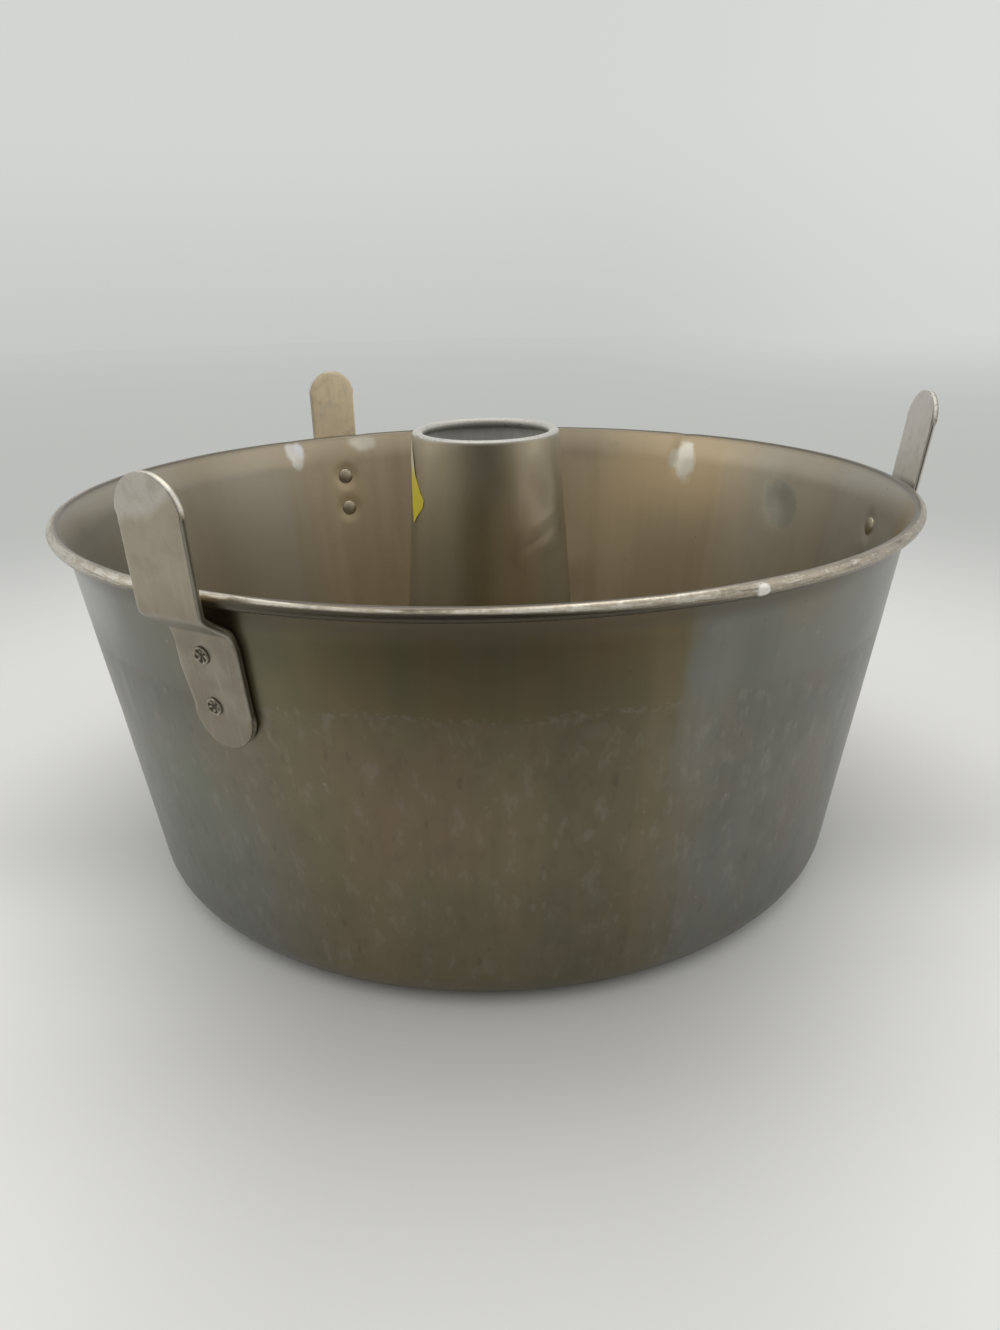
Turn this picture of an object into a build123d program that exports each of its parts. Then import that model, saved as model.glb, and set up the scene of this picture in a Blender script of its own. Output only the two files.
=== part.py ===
from build123d import *
import math
import os

# Angel food cake pan in two lifts: a footed outer pan without a floor, and a loose
# bottom with the centre tube. Lengths are in millimetres, angles in degrees.
# The origin is on the counter, on the pan's axis, and one leg stands at +X.

# Outer pan, spun from one sheet
rim_inside_diameter = 254.0
rim_height = 114.0
wall_lean = 8.0
pan_sheet = 0.9
flare_height = 5.0
flare_lean = 24.0
flare_bend = 8.0
bead_radius = 1.75
bead_turn = 270.0
corner_radius = 12.0
ledge_width = 10.0

# Loose bottom plate, with a raised middle that keeps the seam off the counter
plate_sheet = 0.9
plate_clearance = 0.5
raised_diameter = 92.0
raised_height = 2.6
raised_lean = 45.0
raised_bend = 3.0

# Centre tube, a cone with its top edge curled in and its foot flanged out
tube_height = 132.0
tube_mouth_diameter = 46.2
tube_lean = 3.9
tube_sheet = 0.8
tube_bead_radius = 1.7
tube_bead_turn = 270.0
foot_flange_width = 5.0
foot_bend = 1.0
seam_clearance = 0.1

# Legs, three of one strap, set off to pass outside the rolled rim. Above the rim each one
# leans by its own angle, in the order of leg_names.
leg_count = 3
leg_width = 19.0
leg_sheet = 1.8
leg_rise = 26.0
leg_drop = 40.0
leg_leans = (8.0, 1.0, 4.0)
leg_bend = 2.6
joggle_height = 4.8
joggle_drop = 1.7
bead_gap = 1.5

# Semi-tubular rivets, domed inside the pan and rolled over outside
rivet_shank_diameter = 3.0
rivet_head_diameter = 5.2
rivet_head_height = 1.1
rivet_roll_diameter = 4.4
rivet_roll_height = 0.6
rivet_hollow_diameter = 1.8
rivet_hollow_depth = 1.7
rivet_end_distance = 10.5
rivet_spacing = 13.2
rivet_clearance = 0.1

leg_names = ("right", "back", "front")
rivet_names = ("lower", "upper")


def lean(angle, length):
    """Step along a sheet that leans out from upright by an angle."""
    return Vector(math.sin(math.radians(angle)), math.cos(math.radians(angle))) * length


def facing(angle, length):
    """Step square to a sheet that leans out from upright by an angle, away from the axis."""
    return Vector(math.cos(math.radians(angle)), -math.sin(math.radians(angle))) * length


def climb(angle, height):
    """Step along a leaning sheet that gains a height."""
    return Vector(math.tan(math.radians(angle)) * height, height)


def spun(path, sheet):
    """Sheet of even thickness, spun about the pan's axis along the middle line of its section."""
    return revolve(Plane.XZ * trace(path, line_width=sheet), Axis.Z)


# Section of the outer pan, as radius and height of the middle of the sheet
curl_radius = bead_radius - pan_sheet / 2
curl_centre_height = rim_height - bead_radius
curl_start = Vector(
    rim_inside_diameter / 2 + facing(flare_lean, pan_sheet / 2).X,
    curl_centre_height - facing(flare_lean, curl_radius).Y,
)
flare_start = curl_start - climb(flare_lean, flare_height)
wall_foot = flare_start - climb(wall_lean, flare_start.Y - pan_sheet / 2)
corner_bend = corner_radius - pan_sheet / 2
ledge_outer_radius = wall_foot.X - corner_bend * math.tan(math.radians((90 - wall_lean) / 2))
ledge_hole_radius = ledge_outer_radius - ledge_width
bead_outer_radius = curl_start.X + facing(flare_lean, curl_radius).X + bead_radius

# Section of the loose bottom plate
plate_level = pan_sheet + plate_sheet / 2
plate_radius = ledge_outer_radius - plate_clearance
raised_level = plate_level + raised_height
raised_run = raised_height * math.tan(math.radians(raised_lean))

# Section of the centre tube
tube_curl_radius = tube_bead_radius - tube_sheet / 2
tube_curl_centre = Vector(
    tube_mouth_diameter / 2 - tube_bead_radius,
    tube_height - tube_bead_radius,
)
tube_curl_start = tube_curl_centre + facing(-tube_lean, tube_curl_radius)
foot_level = raised_level - plate_sheet / 2 - tube_sheet / 2
tube_foot = tube_curl_start - climb(-tube_lean, tube_curl_start.Y - foot_level)
tube_outside = tube_foot.X + facing(tube_lean, tube_sheet / 2).X
seam_radius = tube_outside + foot_bend + seam_clearance

# Section of a leg, and where its rivets sit on the wall
leg_top = rim_height + leg_rise
leg_bottom = rim_height - leg_drop
joggle_top = curl_centre_height - bead_radius - joggle_drop
joggle_bottom = joggle_top - joggle_height
rivet_heights = [leg_bottom + rivet_end_distance + rivet_spacing * step for step in range(len(rivet_names))]
leg_turns = [360 / leg_count * step for step in range(leg_count)]


def wall_point(height, out):
    """Point at a height on the wall's middle line, moved square to the wall and away from the axis."""
    return flare_start - climb(wall_lean, flare_start.Y - height) + facing(wall_lean, out)


def rivet_plane(height):
    """Plane on the wall's outer face at +X, at a height, facing away from the pan."""
    seat = wall_point(height, pan_sheet / 2)
    outward = facing(wall_lean, 1)
    return Plane(origin=(seat.X, 0, seat.Y), x_dir=(0, 1, 0), z_dir=(outward.X, 0, outward.Y))


def sagitta(radius, half_width):
    """How far a round wall bows within a half width."""
    return radius - math.sqrt(radius**2 - half_width**2)


def rivet_holes(depth):
    """Cutters for the rivet holes at +X, reaching a depth to either side of the wall's face."""
    bore_radius = rivet_shank_diameter / 2 + rivet_clearance
    return [rivet_plane(height) * Cylinder(bore_radius, depth * 2) for height in rivet_heights]


def make_outer_pan():
    """Leaning wall with a curled rim, a flared mouth and a ledge turned in at the foot."""
    section = FilletPolyline(
        (ledge_hole_radius, pan_sheet / 2),
        wall_foot,
        flare_start,
        curl_start,
        radius=[corner_bend, flare_bend],
    )
    curl = JernArc(curl_start, lean(flare_lean, 1), curl_radius, -bead_turn)
    pan = spun(Curve() + [section, curl], pan_sheet)
    for turn in leg_turns:
        for hole in rivet_holes(bead_radius * 2):
            pan -= Rot(0, 0, turn) * hole
    return pan


def make_base_plate():
    """Flat ring that lies on the ledge, with a raised middle and a hole for the tube."""
    section = FilletPolyline(
        (plate_radius, plate_level),
        (raised_diameter / 2 + raised_run, plate_level),
        (raised_diameter / 2, raised_level),
        (seam_radius, raised_level),
        radius=raised_bend,
    )
    return spun(section, plate_sheet)


def make_centre_tube():
    """Cone from a flange under the plate up to a mouth whose edge is curled in."""
    flange_radius = tube_outside + foot_bend + foot_flange_width
    section = FilletPolyline(
        (flange_radius, foot_level),
        tube_foot,
        tube_curl_start,
        radius=foot_bend,
    )
    curl = JernArc(tube_curl_start, lean(-tube_lean, 1), tube_curl_radius, tube_bead_turn)
    return spun(Curve() + [section, curl], tube_sheet)


def make_leg(lean_above_rim):
    """Strap at +X that lies on the wall, steps out under the bead and stands above the rim."""
    seat_out = pan_sheet / 2 + leg_sheet / 2
    step_top = Vector(bead_outer_radius + bead_gap + leg_sheet / 2, joggle_top)
    section = FilletPolyline(
        wall_point(leg_bottom, seat_out),
        wall_point(joggle_bottom, seat_out),
        step_top,
        step_top + climb(lean_above_rim, leg_top - joggle_top),
        radius=leg_bend,
    )
    strap = extrude(Plane.XZ * trace(section, line_width=leg_sheet), leg_width / 2, both=True)
    ends = SlotCenterToCenter(leg_top - leg_bottom - leg_width, leg_width, rotation=90)
    outline = Plane.YZ * Pos(0, (leg_top + leg_bottom) / 2) * ends
    leg = strap & extrude(outline, rim_inside_diameter)
    for hole in rivet_holes(leg_sheet * 2):
        leg -= hole
    return leg


def make_rivet(height):
    """Rivet at +X: a dome inside, a shank through wall and leg, and a hollow rolled end outside."""
    head_radius = rivet_head_diameter / 2
    shank_radius = rivet_shank_diameter / 2
    roll_radius = rivet_roll_diameter / 2
    hollow_radius = rivet_hollow_diameter / 2
    under_head = -pan_sheet - sagitta(wall_point(height, 0).X - pan_sheet / 2, head_radius)
    roll_top = leg_sheet + rivet_roll_height
    outline = Polyline(
        (0, under_head - rivet_head_height),
        (0, roll_top - rivet_hollow_depth),
        (hollow_radius, roll_top - rivet_hollow_depth),
        (hollow_radius, roll_top - rivet_roll_height / 2),
    )
    lip = ThreePointArc(
        (hollow_radius, roll_top - rivet_roll_height / 2),
        ((hollow_radius + roll_radius) / 2, roll_top),
        (roll_radius, leg_sheet),
    )
    shank = Polyline(
        (roll_radius, leg_sheet),
        (shank_radius, leg_sheet),
        (shank_radius, under_head),
        (head_radius, under_head),
    )
    dome_radius = (head_radius**2 + rivet_head_height**2) / (2 * rivet_head_height)
    dome_angle = math.degrees(math.asin(head_radius / dome_radius))
    dome = CenterArc((0, under_head - rivet_head_height + dome_radius), dome_radius, -90, dome_angle)
    profile = make_face(Plane.XZ * (Curve() + [outline, lip, shank, dome]))
    return rivet_plane(height) * revolve(profile, Axis.Z)


def build():
    """Every piece by its name."""
    pieces = {
        "outer_pan": make_outer_pan(),
        "base_plate": make_base_plate(),
        "centre_tube": make_centre_tube(),
    }
    rivets = [make_rivet(height) for height in rivet_heights]
    for name, turn, lean_above_rim in zip(leg_names, leg_turns, leg_leans):
        pieces["leg_" + name] = Rot(0, 0, turn) * make_leg(lean_above_rim)
        for place, rivet in zip(rivet_names, rivets):
            pieces["rivet_" + name + "_" + place] = Rot(0, 0, turn) * rivet
    return pieces


os.makedirs("parts", exist_ok=True)
for node, piece in build().items():
    export_step(piece, "parts/" + node + ".step")
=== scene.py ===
"""Angel food cake pan: its sheets, legs and rivets, their finishes, and a pale studio round them.

Lengths are in metres and angles in degrees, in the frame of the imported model: +Z is up, the
pan's axis lies on Z and one leg stands at +X.
"""

import logging
import math
from dataclasses import dataclass, field
from enum import Enum
from typing import Any, Callable, Sequence

import bmesh
import bpy
import numpy as np
from mathutils import Matrix


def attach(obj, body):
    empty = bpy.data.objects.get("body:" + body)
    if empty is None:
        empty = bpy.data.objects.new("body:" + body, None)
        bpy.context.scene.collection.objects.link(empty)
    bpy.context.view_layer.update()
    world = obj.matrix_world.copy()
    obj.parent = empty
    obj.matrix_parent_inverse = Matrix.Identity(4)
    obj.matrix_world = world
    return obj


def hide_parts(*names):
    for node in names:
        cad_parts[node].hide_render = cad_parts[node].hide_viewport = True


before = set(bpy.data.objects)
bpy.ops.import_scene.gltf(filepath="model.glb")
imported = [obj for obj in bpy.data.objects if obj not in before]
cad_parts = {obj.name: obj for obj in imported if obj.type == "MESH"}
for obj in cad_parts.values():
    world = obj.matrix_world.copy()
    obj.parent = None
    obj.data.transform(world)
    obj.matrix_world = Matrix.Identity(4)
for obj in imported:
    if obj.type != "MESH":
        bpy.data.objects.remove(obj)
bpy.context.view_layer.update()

log = logging.getLogger("cake_pan")

Array = np.ndarray
Colour = tuple[float, float, float]
Point = tuple[float, float]
Push = Callable[[Array, Array, Array], Array]


class Body(Enum):
    """The bodies that pieces ride on."""

    PAN = "pan"
    INSERT = "insert"


class Slot(Enum):
    """The record's material slots."""

    PAN = "pan_sheet"
    PLATE = "plate_sheet"
    TUBE = "tube_sheet"
    LEG = "leg_strap"
    RIVET = "rivet_metal"


# Shader graphs


class Signal:
    """A node's output that Python expressions work on."""

    def __init__(self, graph: "Graph", socket: bpy.types.NodeSocket) -> None:
        """Keep the graph that new nodes join, and the output."""
        self.graph = graph
        self.socket = socket

    def _with(self, operation: str, left: Any, right: Any) -> "Signal":
        """Join two sides by one operation.

        Args:
            operation: The Math or Vector Math operation.
            left: A signal or a number.
            right: A signal or a number.

        Returns:
            The result, a vector if either side is one.
        """
        sides = [side for side in (left, right) if isinstance(side, Signal)]
        vector = any(side.socket.type == "VECTOR" for side in sides)
        kind = "ShaderNodeVectorMath" if vector else "ShaderNodeMath"
        return self.graph.add(kind, {"operation": operation}, {0: left, 1: right})

    def __add__(self, other: Any) -> "Signal":
        """Sum."""
        return self._with("ADD", self, other)

    __radd__ = __add__

    def __sub__(self, other: Any) -> "Signal":
        """Difference."""
        return self._with("SUBTRACT", self, other)

    def __rsub__(self, other: Any) -> "Signal":
        """Difference from the right."""
        return self._with("SUBTRACT", other, self)

    def __mul__(self, other: Any) -> "Signal":
        """Product."""
        return self._with("MULTIPLY", self, other)

    __rmul__ = __mul__

    def __truediv__(self, other: Any) -> "Signal":
        """Quotient."""
        return self._with("DIVIDE", self, other)

    def __rtruediv__(self, other: Any) -> "Signal":
        """Quotient from the right."""
        return self._with("DIVIDE", other, self)

    def __abs__(self) -> "Signal":
        """Value without its sign."""
        return self._with("ABSOLUTE", self, 0.0)

    def ramp(self, low: float, high: float) -> "Signal":
        """Smooth step from 0 at the low value to 1 at the high one.

        Args:
            low: Where the step starts. It may be above the high value, for a falling step.
            high: Where the step ends.

        Returns:
            The step, from 0 to 1.
        """
        rising = low < high
        ends = {"From Min": min(low, high), "From Max": max(low, high)}
        out = {"To Min": 0.0 if rising else 1.0, "To Max": 1.0 if rising else 0.0}
        settings = {"interpolation_type": "SMOOTHSTEP"}
        return self.graph.add("ShaderNodeMapRange", settings, {"Value": self, **ends, **out})


class Graph:
    """Node tree of one material or of the world."""

    def __init__(self, tree: bpy.types.NodeTree) -> None:
        """Start from an empty tree."""
        self.tree = tree
        self.tree.nodes.clear()

    def add(self, kind: str, settings: dict[str, Any] | None = None,
            inputs: dict[str | int, Any] | None = None, output: str | int = 0) -> Signal:
        """Add a node.

        Args:
            kind: The node's type.
            settings: Properties of the node, set first.
            inputs: Signals or values for the node's sockets, by name or number.
            output: The output that the signal stands for.

        Returns:
            That output as a signal.
        """
        node = self.tree.nodes.new(kind)
        for name, value in (settings or {}).items():
            setattr(node, name, value)
        for name, value in (inputs or {}).items():
            self._feed(node.inputs[name], value)
        return Signal(self, node.outputs[output])

    def show(self, kind: str, shader: Signal) -> None:
        """End the tree with an output node, fed by a shader."""
        node = self.tree.nodes.new(kind)
        self._feed(node.inputs["Surface"], shader)

    def _feed(self, socket: bpy.types.NodeSocket, value: Any) -> None:
        """Link a signal to a socket, or set the socket to a value.

        Args:
            socket: The socket.
            value: A signal, a number, a vector or a colour.
        """
        if isinstance(value, Signal):
            self.tree.links.new(value.socket, socket)
        elif socket.type == "RGBA":
            socket.default_value = (*value, 1.0)
        elif socket.type == "VECTOR" and isinstance(value, (int, float)):
            socket.default_value = (value, value, value)
        else:
            socket.default_value = value

    def mix(self, share: Any, first: Any, second: Any) -> Signal:
        """Mix two colours.

        Args:
            share: How much of the second colour there is, from 0 to 1.
            first: A colour or a signal.
            second: A colour or a signal.

        Returns:
            The mixed colour.
        """
        settings = {"data_type": "RGBA", "blend_type": "MIX", "clamp_factor": True}
        return self.add("ShaderNodeMix", settings, {0: share, 6: first, 7: second}, 2)

    def attribute(self, name: str) -> Signal:
        """A number that the mesh holds at each point."""
        return self.add("ShaderNodeAttribute", {"attribute_name": name}, output="Fac")

    def place(self) -> Signal:
        """Position on the object, in metres."""
        return self.add("ShaderNodeTexCoord", output="Object")

    def noise(self, place: Signal, scale: float | Sequence[float], detail: float = 3.0,
              rough: float = 0.5) -> Signal:
        """Noise about 0.5.

        Args:
            place: The position that it follows.
            scale: Waves a metre, one number or one for each axis.
            detail: Octaves.
            rough: How strong the finer octaves are.

        Returns:
            The noise as a number.
        """
        even = isinstance(scale, (int, float))
        where = place if even else place * tuple(scale)
        inputs = {"Vector": where, "Scale": scale if even else 1.0, "Detail": detail, "Roughness": rough}
        return self.add("ShaderNodeTexNoise", {"noise_dimensions": "3D"}, inputs, "Fac")

    def cells(self, place: Signal, scale: float) -> tuple[Signal, Signal]:
        """Scattered cells.

        Args:
            place: The position that they follow.
            scale: Cells a metre.

        Returns:
            The distance from each cell's middle, in cells, and the cell's own random number.
        """
        inputs = {"Vector": place, "Scale": scale}
        distance = self.add("ShaderNodeTexVoronoi", {"feature": "F1"}, inputs, "Distance")
        colour = self.add("ShaderNodeTexVoronoi", {"feature": "F1"}, inputs, "Color")
        return distance, self.add("ShaderNodeSeparateColor", {}, {0: colour}, "Red")

    def wrapped(self, place: Signal, around: float, up: float) -> Signal:
        """Position that runs about the axis and up the section, whatever the radius.

        Args:
            place: Position on the object.
            around: Units for each radian about the axis.
            up: Units for each metre up or outwards.

        Returns:
            The position, for noise of scale 1.
        """
        flat = place * (1.0, 1.0, 0.0)
        radius = self.add("ShaderNodeVectorMath", {"operation": "LENGTH"}, {0: flat}, "Value")
        unit = self.add("ShaderNodeVectorMath", {"operation": "NORMALIZE"}, {0: flat})
        height = self.add("ShaderNodeSeparateXYZ", {}, {0: place}, "Z")
        rise = self.add("ShaderNodeCombineXYZ", {}, {"Z": (height + radius) * up})
        return unit * around + rise

    def bearing(self, place: Signal) -> Signal:
        """Angle about the axis in degrees, from -180 to 180."""
        east, north = (self.add("ShaderNodeSeparateXYZ", {}, {0: place}, axis) for axis in "XY")
        return self.add("ShaderNodeMath", {"operation": "ARCTAN2"}, {0: north, 1: east}) * (180 / math.pi)

    def near(self, place: Signal, centre: Sequence[float], half_out: float, half_up: float,
             ragged: Signal, soft: float = 0.6) -> Signal:
        """Soft patch round a point.

        Args:
            place: Position on the object.
            centre: The patch's middle.
            half_out: Its half width, level.
            half_up: Its half height.
            ragged: Noise about 0.5 that roughens its outline.
            soft: Share of its half width over which it fades out.

        Returns:
            1 in the patch and 0 off it.
        """
        sizes = (1 / half_out, 1 / half_out, 1 / half_up)
        offset = (place - tuple(centre)) * sizes
        away = self.add("ShaderNodeVectorMath", {"operation": "LENGTH"}, {0: offset}, "Value")
        return (away + (ragged - 0.5) * 1.1).ramp(1.05, 1.05 - soft)

    def bump(self, height: Signal, distance: float, strength: float = 1.0,
             under: Signal | None = None) -> Signal:
        """Relief that only shading shows.

        Args:
            height: The relief, from 0 to 1.
            distance: How high 1 is.
            strength: How much of it there is.
            under: A normal that it goes on.

        Returns:
            The normal.
        """
        inputs = {"Strength": strength, "Distance": distance, "Height": height}
        if under is not None:
            inputs["Normal"] = under
        return self.add("ShaderNodeBump", {}, inputs, "Normal")

    def surface(self, **inputs: Any) -> None:
        """Finish the graph with a Principled shader, whose sockets are named with _ for a space."""
        named = {name.replace("_", " "): value for name, value in inputs.items()}
        shader = self.add("ShaderNodeBsdfPrincipled", {}, named)
        self.show("ShaderNodeOutputMaterial", shader)


# Finishes


@dataclass(frozen=True)
class Finish:
    """A finish, made once and given to every piece that wears it."""

    name: str

    def material(self) -> bpy.types.Material:
        """Find the material of that name, made when it is first asked for.

        Returns:
            The material.
        """
        known = bpy.data.materials.get(self.name)
        if known is not None:
            return known
        material = bpy.data.materials.new(self.name)
        material.use_nodes = True
        self.shade(Graph(material.node_tree))
        return material

    def shade(self, graph: Graph) -> None:
        """Build the nodes.

        Args:
            graph: The material's empty tree, not used here.
        """
        raise NotImplementedError


@dataclass(frozen=True)
class ScuffAndGlint:
    """Patch of a sheet, on its inner face unless it says otherwise, in a colour of its own: where the film
    has gone, and one painted highlight on the pan's bead.
    """

    azimuth: float
    radius: float
    height: float
    half_out: float
    half_up: float
    colour: Colour
    share: float = 0.9
    inner: bool = True
    soft: float = 0.6

    @property
    def centre(self) -> tuple[float, float, float]:
        """The patch's middle on the object."""
        turn = math.radians(self.azimuth)
        return (self.radius * math.cos(turn), self.radius * math.sin(turn), self.height)


@dataclass(frozen=True)
class TonePatch:
    """Stretch of a sheet, between two heights, in a tone of its own; film marks, painted shade and painted
    highlights are all laid this way.
    """

    azimuth: float
    half: float
    low: float
    high: float
    tone: Colour
    share: float
    soft: float = 3.0
    inner: bool = False
    fade: float = 0.006

    def spread(self, bearing: Signal, height: Signal) -> Signal:
        """Where the patch lies.

        Args:
            bearing: Angle about the axis, made uneven.
            height: Height, made uneven.

        Returns:
            Its share inside it, and 0 outside.
        """
        turn = {0: bearing - self.azimuth, 1: 180.0, 2: -180.0}
        away = abs(bearing.graph.add("ShaderNodeMath", {"operation": "WRAP"}, turn))
        across = away.ramp(self.half + self.soft, self.half - self.soft)
        up = height.ramp(self.low - self.fade, self.low + self.fade)
        up = up * height.ramp(self.high + self.fade, self.high - self.fade)
        return across * up * self.share


@dataclass(frozen=True)
class DarkenedSheet(Finish):
    """Spun aluminium under years of baking: a brown film in faint upright bands, worn at the rolls.

    The mesh says where its inner face, its roll and its rubbed places are, as inner, roll and
    worn; on the pan's bead the rubbed band is also a painted highlight. Below the tide line the film is
    duller and mottled.
    """

    outer_brown: Colour = (0.205, 0.158, 0.086)
    outer_olive: Colour = (0.172, 0.152, 0.082)
    outer_dull: Colour = (0.212, 0.178, 0.112)
    inner_tan: Colour = (0.448, 0.378, 0.260)
    inner_brown: Colour = (0.392, 0.326, 0.216)
    roll_film: Colour = (0.098, 0.084, 0.060)
    roll_rubbed: Colour = (0.400, 0.350, 0.270)
    grime: Colour = (0.085, 0.070, 0.045)
    ruddy: Colour = (0.230, 0.170, 0.115)
    pale: Colour = (0.400, 0.395, 0.340)
    bright: Colour = (0.580, 0.555, 0.480)
    tide_height: float = 0.0855
    shade_and_grime_height: Point = (0.1035, 0.1085)
    outer_rough: float = 0.35
    inner_rough: float = 0.40
    worn_rough: float = 0.34
    outer_metal: float = 0.90
    inner_metal: float = 0.90
    roll_metal: float = 0.90
    bands: float = 1.0
    wander: float = 4.0
    marks: float = 1.0
    tone_patches: tuple[TonePatch, ...] = ()
    scuffs_and_glint: tuple[ScuffAndGlint, ...] = ()

    def shade(self, graph: Graph) -> None:
        """Build the nodes.

        Args:
            graph: The material's empty tree.
        """
        place = graph.place()
        inner, worn, roll = (graph.attribute(name) for name in ("inner", "worn", "roll"))
        height = graph.add("ShaderNodeSeparateXYZ", {}, {0: place}, "Z")
        mottle = graph.noise(place, 150.0, 4.0, 0.6)
        grain = graph.noise(place, 1100.0, 3.0, 0.6)
        wave = graph.noise(graph.wrapped(place, 1.6, 0.0), 1.0, 2.0)
        over = height + (wave - 0.5) * 0.010 + (mottle - 0.5) * 0.003
        below = over.ramp(self.tide_height + 0.0006, self.tide_height - 0.0009)

        tones = self.tones(graph, place, mottle)
        film = graph.mix(tones, self.outer_brown, self.outer_olive)
        film = graph.mix(below * 0.55, film, self.outer_dull)
        film = self.toned(graph, place, film, height, mottle, False)
        film = self.mottled(graph, place, film, below)
        broken = graph.noise(place, 520.0, 2.0).ramp(0.50, 0.62)
        facing_front = abs(graph.bearing(place) + 92.0).ramp(28.0, 20.0)
        line = abs(over - self.tide_height).ramp(0.0014, 0.0002) * facing_front
        film = graph.mix(line * broken * 0.16, film, self.pale)
        # darker band under the bead: grime, and painted shade under the rim
        grime = height.ramp(*self.shade_and_grime_height) * (1 - roll)
        film = graph.mix(grime * 0.62, film, self.grime)
        inside = graph.mix(tones, self.inner_tan, self.inner_brown)
        inside = self.toned(graph, place, inside, height, mottle, True)
        colour = graph.mix(inner, film, inside)
        colour = self.marked(graph, place, colour, grain, mottle)
        colour = self.scuffed_and_glinted(graph, place, colour, mottle, inner, True)

        streak = graph.noise(graph.wrapped(place, 10.0, 2600.0), 1.0, 3.0, 0.6)
        fibre = graph.noise(graph.wrapped(place, 26.0, 3600.0), 1.0, 2.0, 0.6)
        # the bead's rubbed band and bright flecks: worn metal, and a painted highlight where light catches
        # the bead
        rubbed = (worn + (streak - 0.5) * 0.9 + (grain - 0.5) * 0.25).ramp(0.15, 0.95)
        rim = graph.mix(rubbed, self.roll_film, self.roll_rubbed)
        rub_and_glint = (worn + (fibre - 0.5) * 1.2 + (grain - 0.5) * 0.6).ramp(0.72, 1.02) * worn.ramp(0.0, 0.2)
        rim = graph.mix(rub_and_glint * 0.88, rim, self.bright)
        rim = graph.mix(streak.ramp(0.42, 0.30) * 0.55, rim, self.grime)
        colour = graph.mix(roll, colour, rim)
        # outer patches: the white spot on the bead, a painted highlight
        colour = self.scuffed_and_glinted(graph, place, colour, mottle, inner, False)

        rough = self.outer_rough + (self.inner_rough - self.outer_rough) * inner
        rough = rough + (mottle - 0.5) * 0.10 + below * (1 - inner) * 0.05
        rough = rough + (self.worn_rough - rough) * roll
        lines = graph.noise(graph.wrapped(place, 6.0, 1500.0), 1.0, 3.0, 0.6)
        normal = graph.bump(lines * 0.6 + grain * 0.3, 0.00003, 0.35)
        normal = graph.bump(roll * (fibre + grain), 0.00008, 0.8, normal)
        metal = self.outer_metal + (self.inner_metal - self.outer_metal) * inner
        metal = metal + (self.roll_metal - metal) * roll
        graph.surface(Base_Color=colour, Metallic=metal, Roughness=rough, Normal=normal,
                      Specular_Tint=(0.88, 0.88, 0.88), Coat_Weight=0.32, Coat_Roughness=0.32, Coat_IOR=1.5)

    def mottled(self, graph: Graph, place: Signal, film: Signal, below: Signal) -> Signal:
        """Mottle the film below the tide line: soft blotches, and a few marks that run up the wall.

        Args:
            graph: The material's nodes.
            place: Position on the object.
            film: The film's colour.
            below: 1 below the tide line and 0 above it.

        Returns:
            The mottled film.
        """
        blotch = graph.noise(graph.wrapped(place, 9.0, 40.0), 1.0, 3.0, 0.6)
        patches = graph.noise(graph.wrapped(place, 30.0, 110.0), 1.0, 3.0, 0.6)
        film = graph.mix(blotch.ramp(0.50, 0.66) * below * 0.22, film, self.ruddy)
        film = graph.mix(blotch.ramp(0.46, 0.32) * below * 0.16, film, self.grime)
        film = graph.mix(patches.ramp(0.54, 0.70) * below * 0.15, film, self.pale)
        film = graph.mix(patches.ramp(0.46, 0.30) * below * 0.16, film, self.grime)
        distance, chance = graph.cells(graph.wrapped(place, 44.0, 150.0), 1.0)
        fleck = (distance + (patches - 0.5) * 0.5).ramp(0.30, 0.18) * below
        film = graph.mix(fleck * chance.ramp(0.13, 0.11) * 0.13 * self.marks, film, self.pale)
        return graph.mix(fleck * chance.ramp(0.93, 0.95) * 0.25 * self.marks, film, self.grime)

    def scuffed_and_glinted(self, graph: Graph, place: Signal, colour: Signal, mottle: Signal, side: Signal,
                inner: bool) -> Signal:
        """Lay the patches of the inner face, or the others, over the film; the one outer patch is a painted
        highlight.

        Args:
            graph: The material's nodes.
            place: Position on the object.
            colour: The film's colour.
            mottle: Noise about 0.5.
            side: 1 on the inner face and 0 on the outer.
            inner: True for those of the inner face.

        Returns:
            The colour with the patches.
        """
        for laid_patch in self.scuffs_and_glint:
            if laid_patch.inner == inner:
                patch = graph.near(place, laid_patch.centre, laid_patch.half_out, laid_patch.half_up, mottle, laid_patch.soft)
                colour = graph.mix(patch * laid_patch.share * (side if inner else 1.0), colour, laid_patch.colour)
        return colour

    def tones(self, graph: Graph, place: Signal, mottle: Signal) -> Signal:
        """Share of the film's second tone, in soft upright bands.

        Args:
            graph: The material's nodes.
            place: Position on the object.
            mottle: Noise about 0.5.

        Returns:
            The share, from 0 to 1.
        """
        broad = graph.noise(graph.wrapped(place, 9.0, 3.0), 1.0, 2.0, 0.5)
        return (broad + (mottle - 0.5) * 0.25 - 0.5).ramp(-0.12, 0.12)

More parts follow.
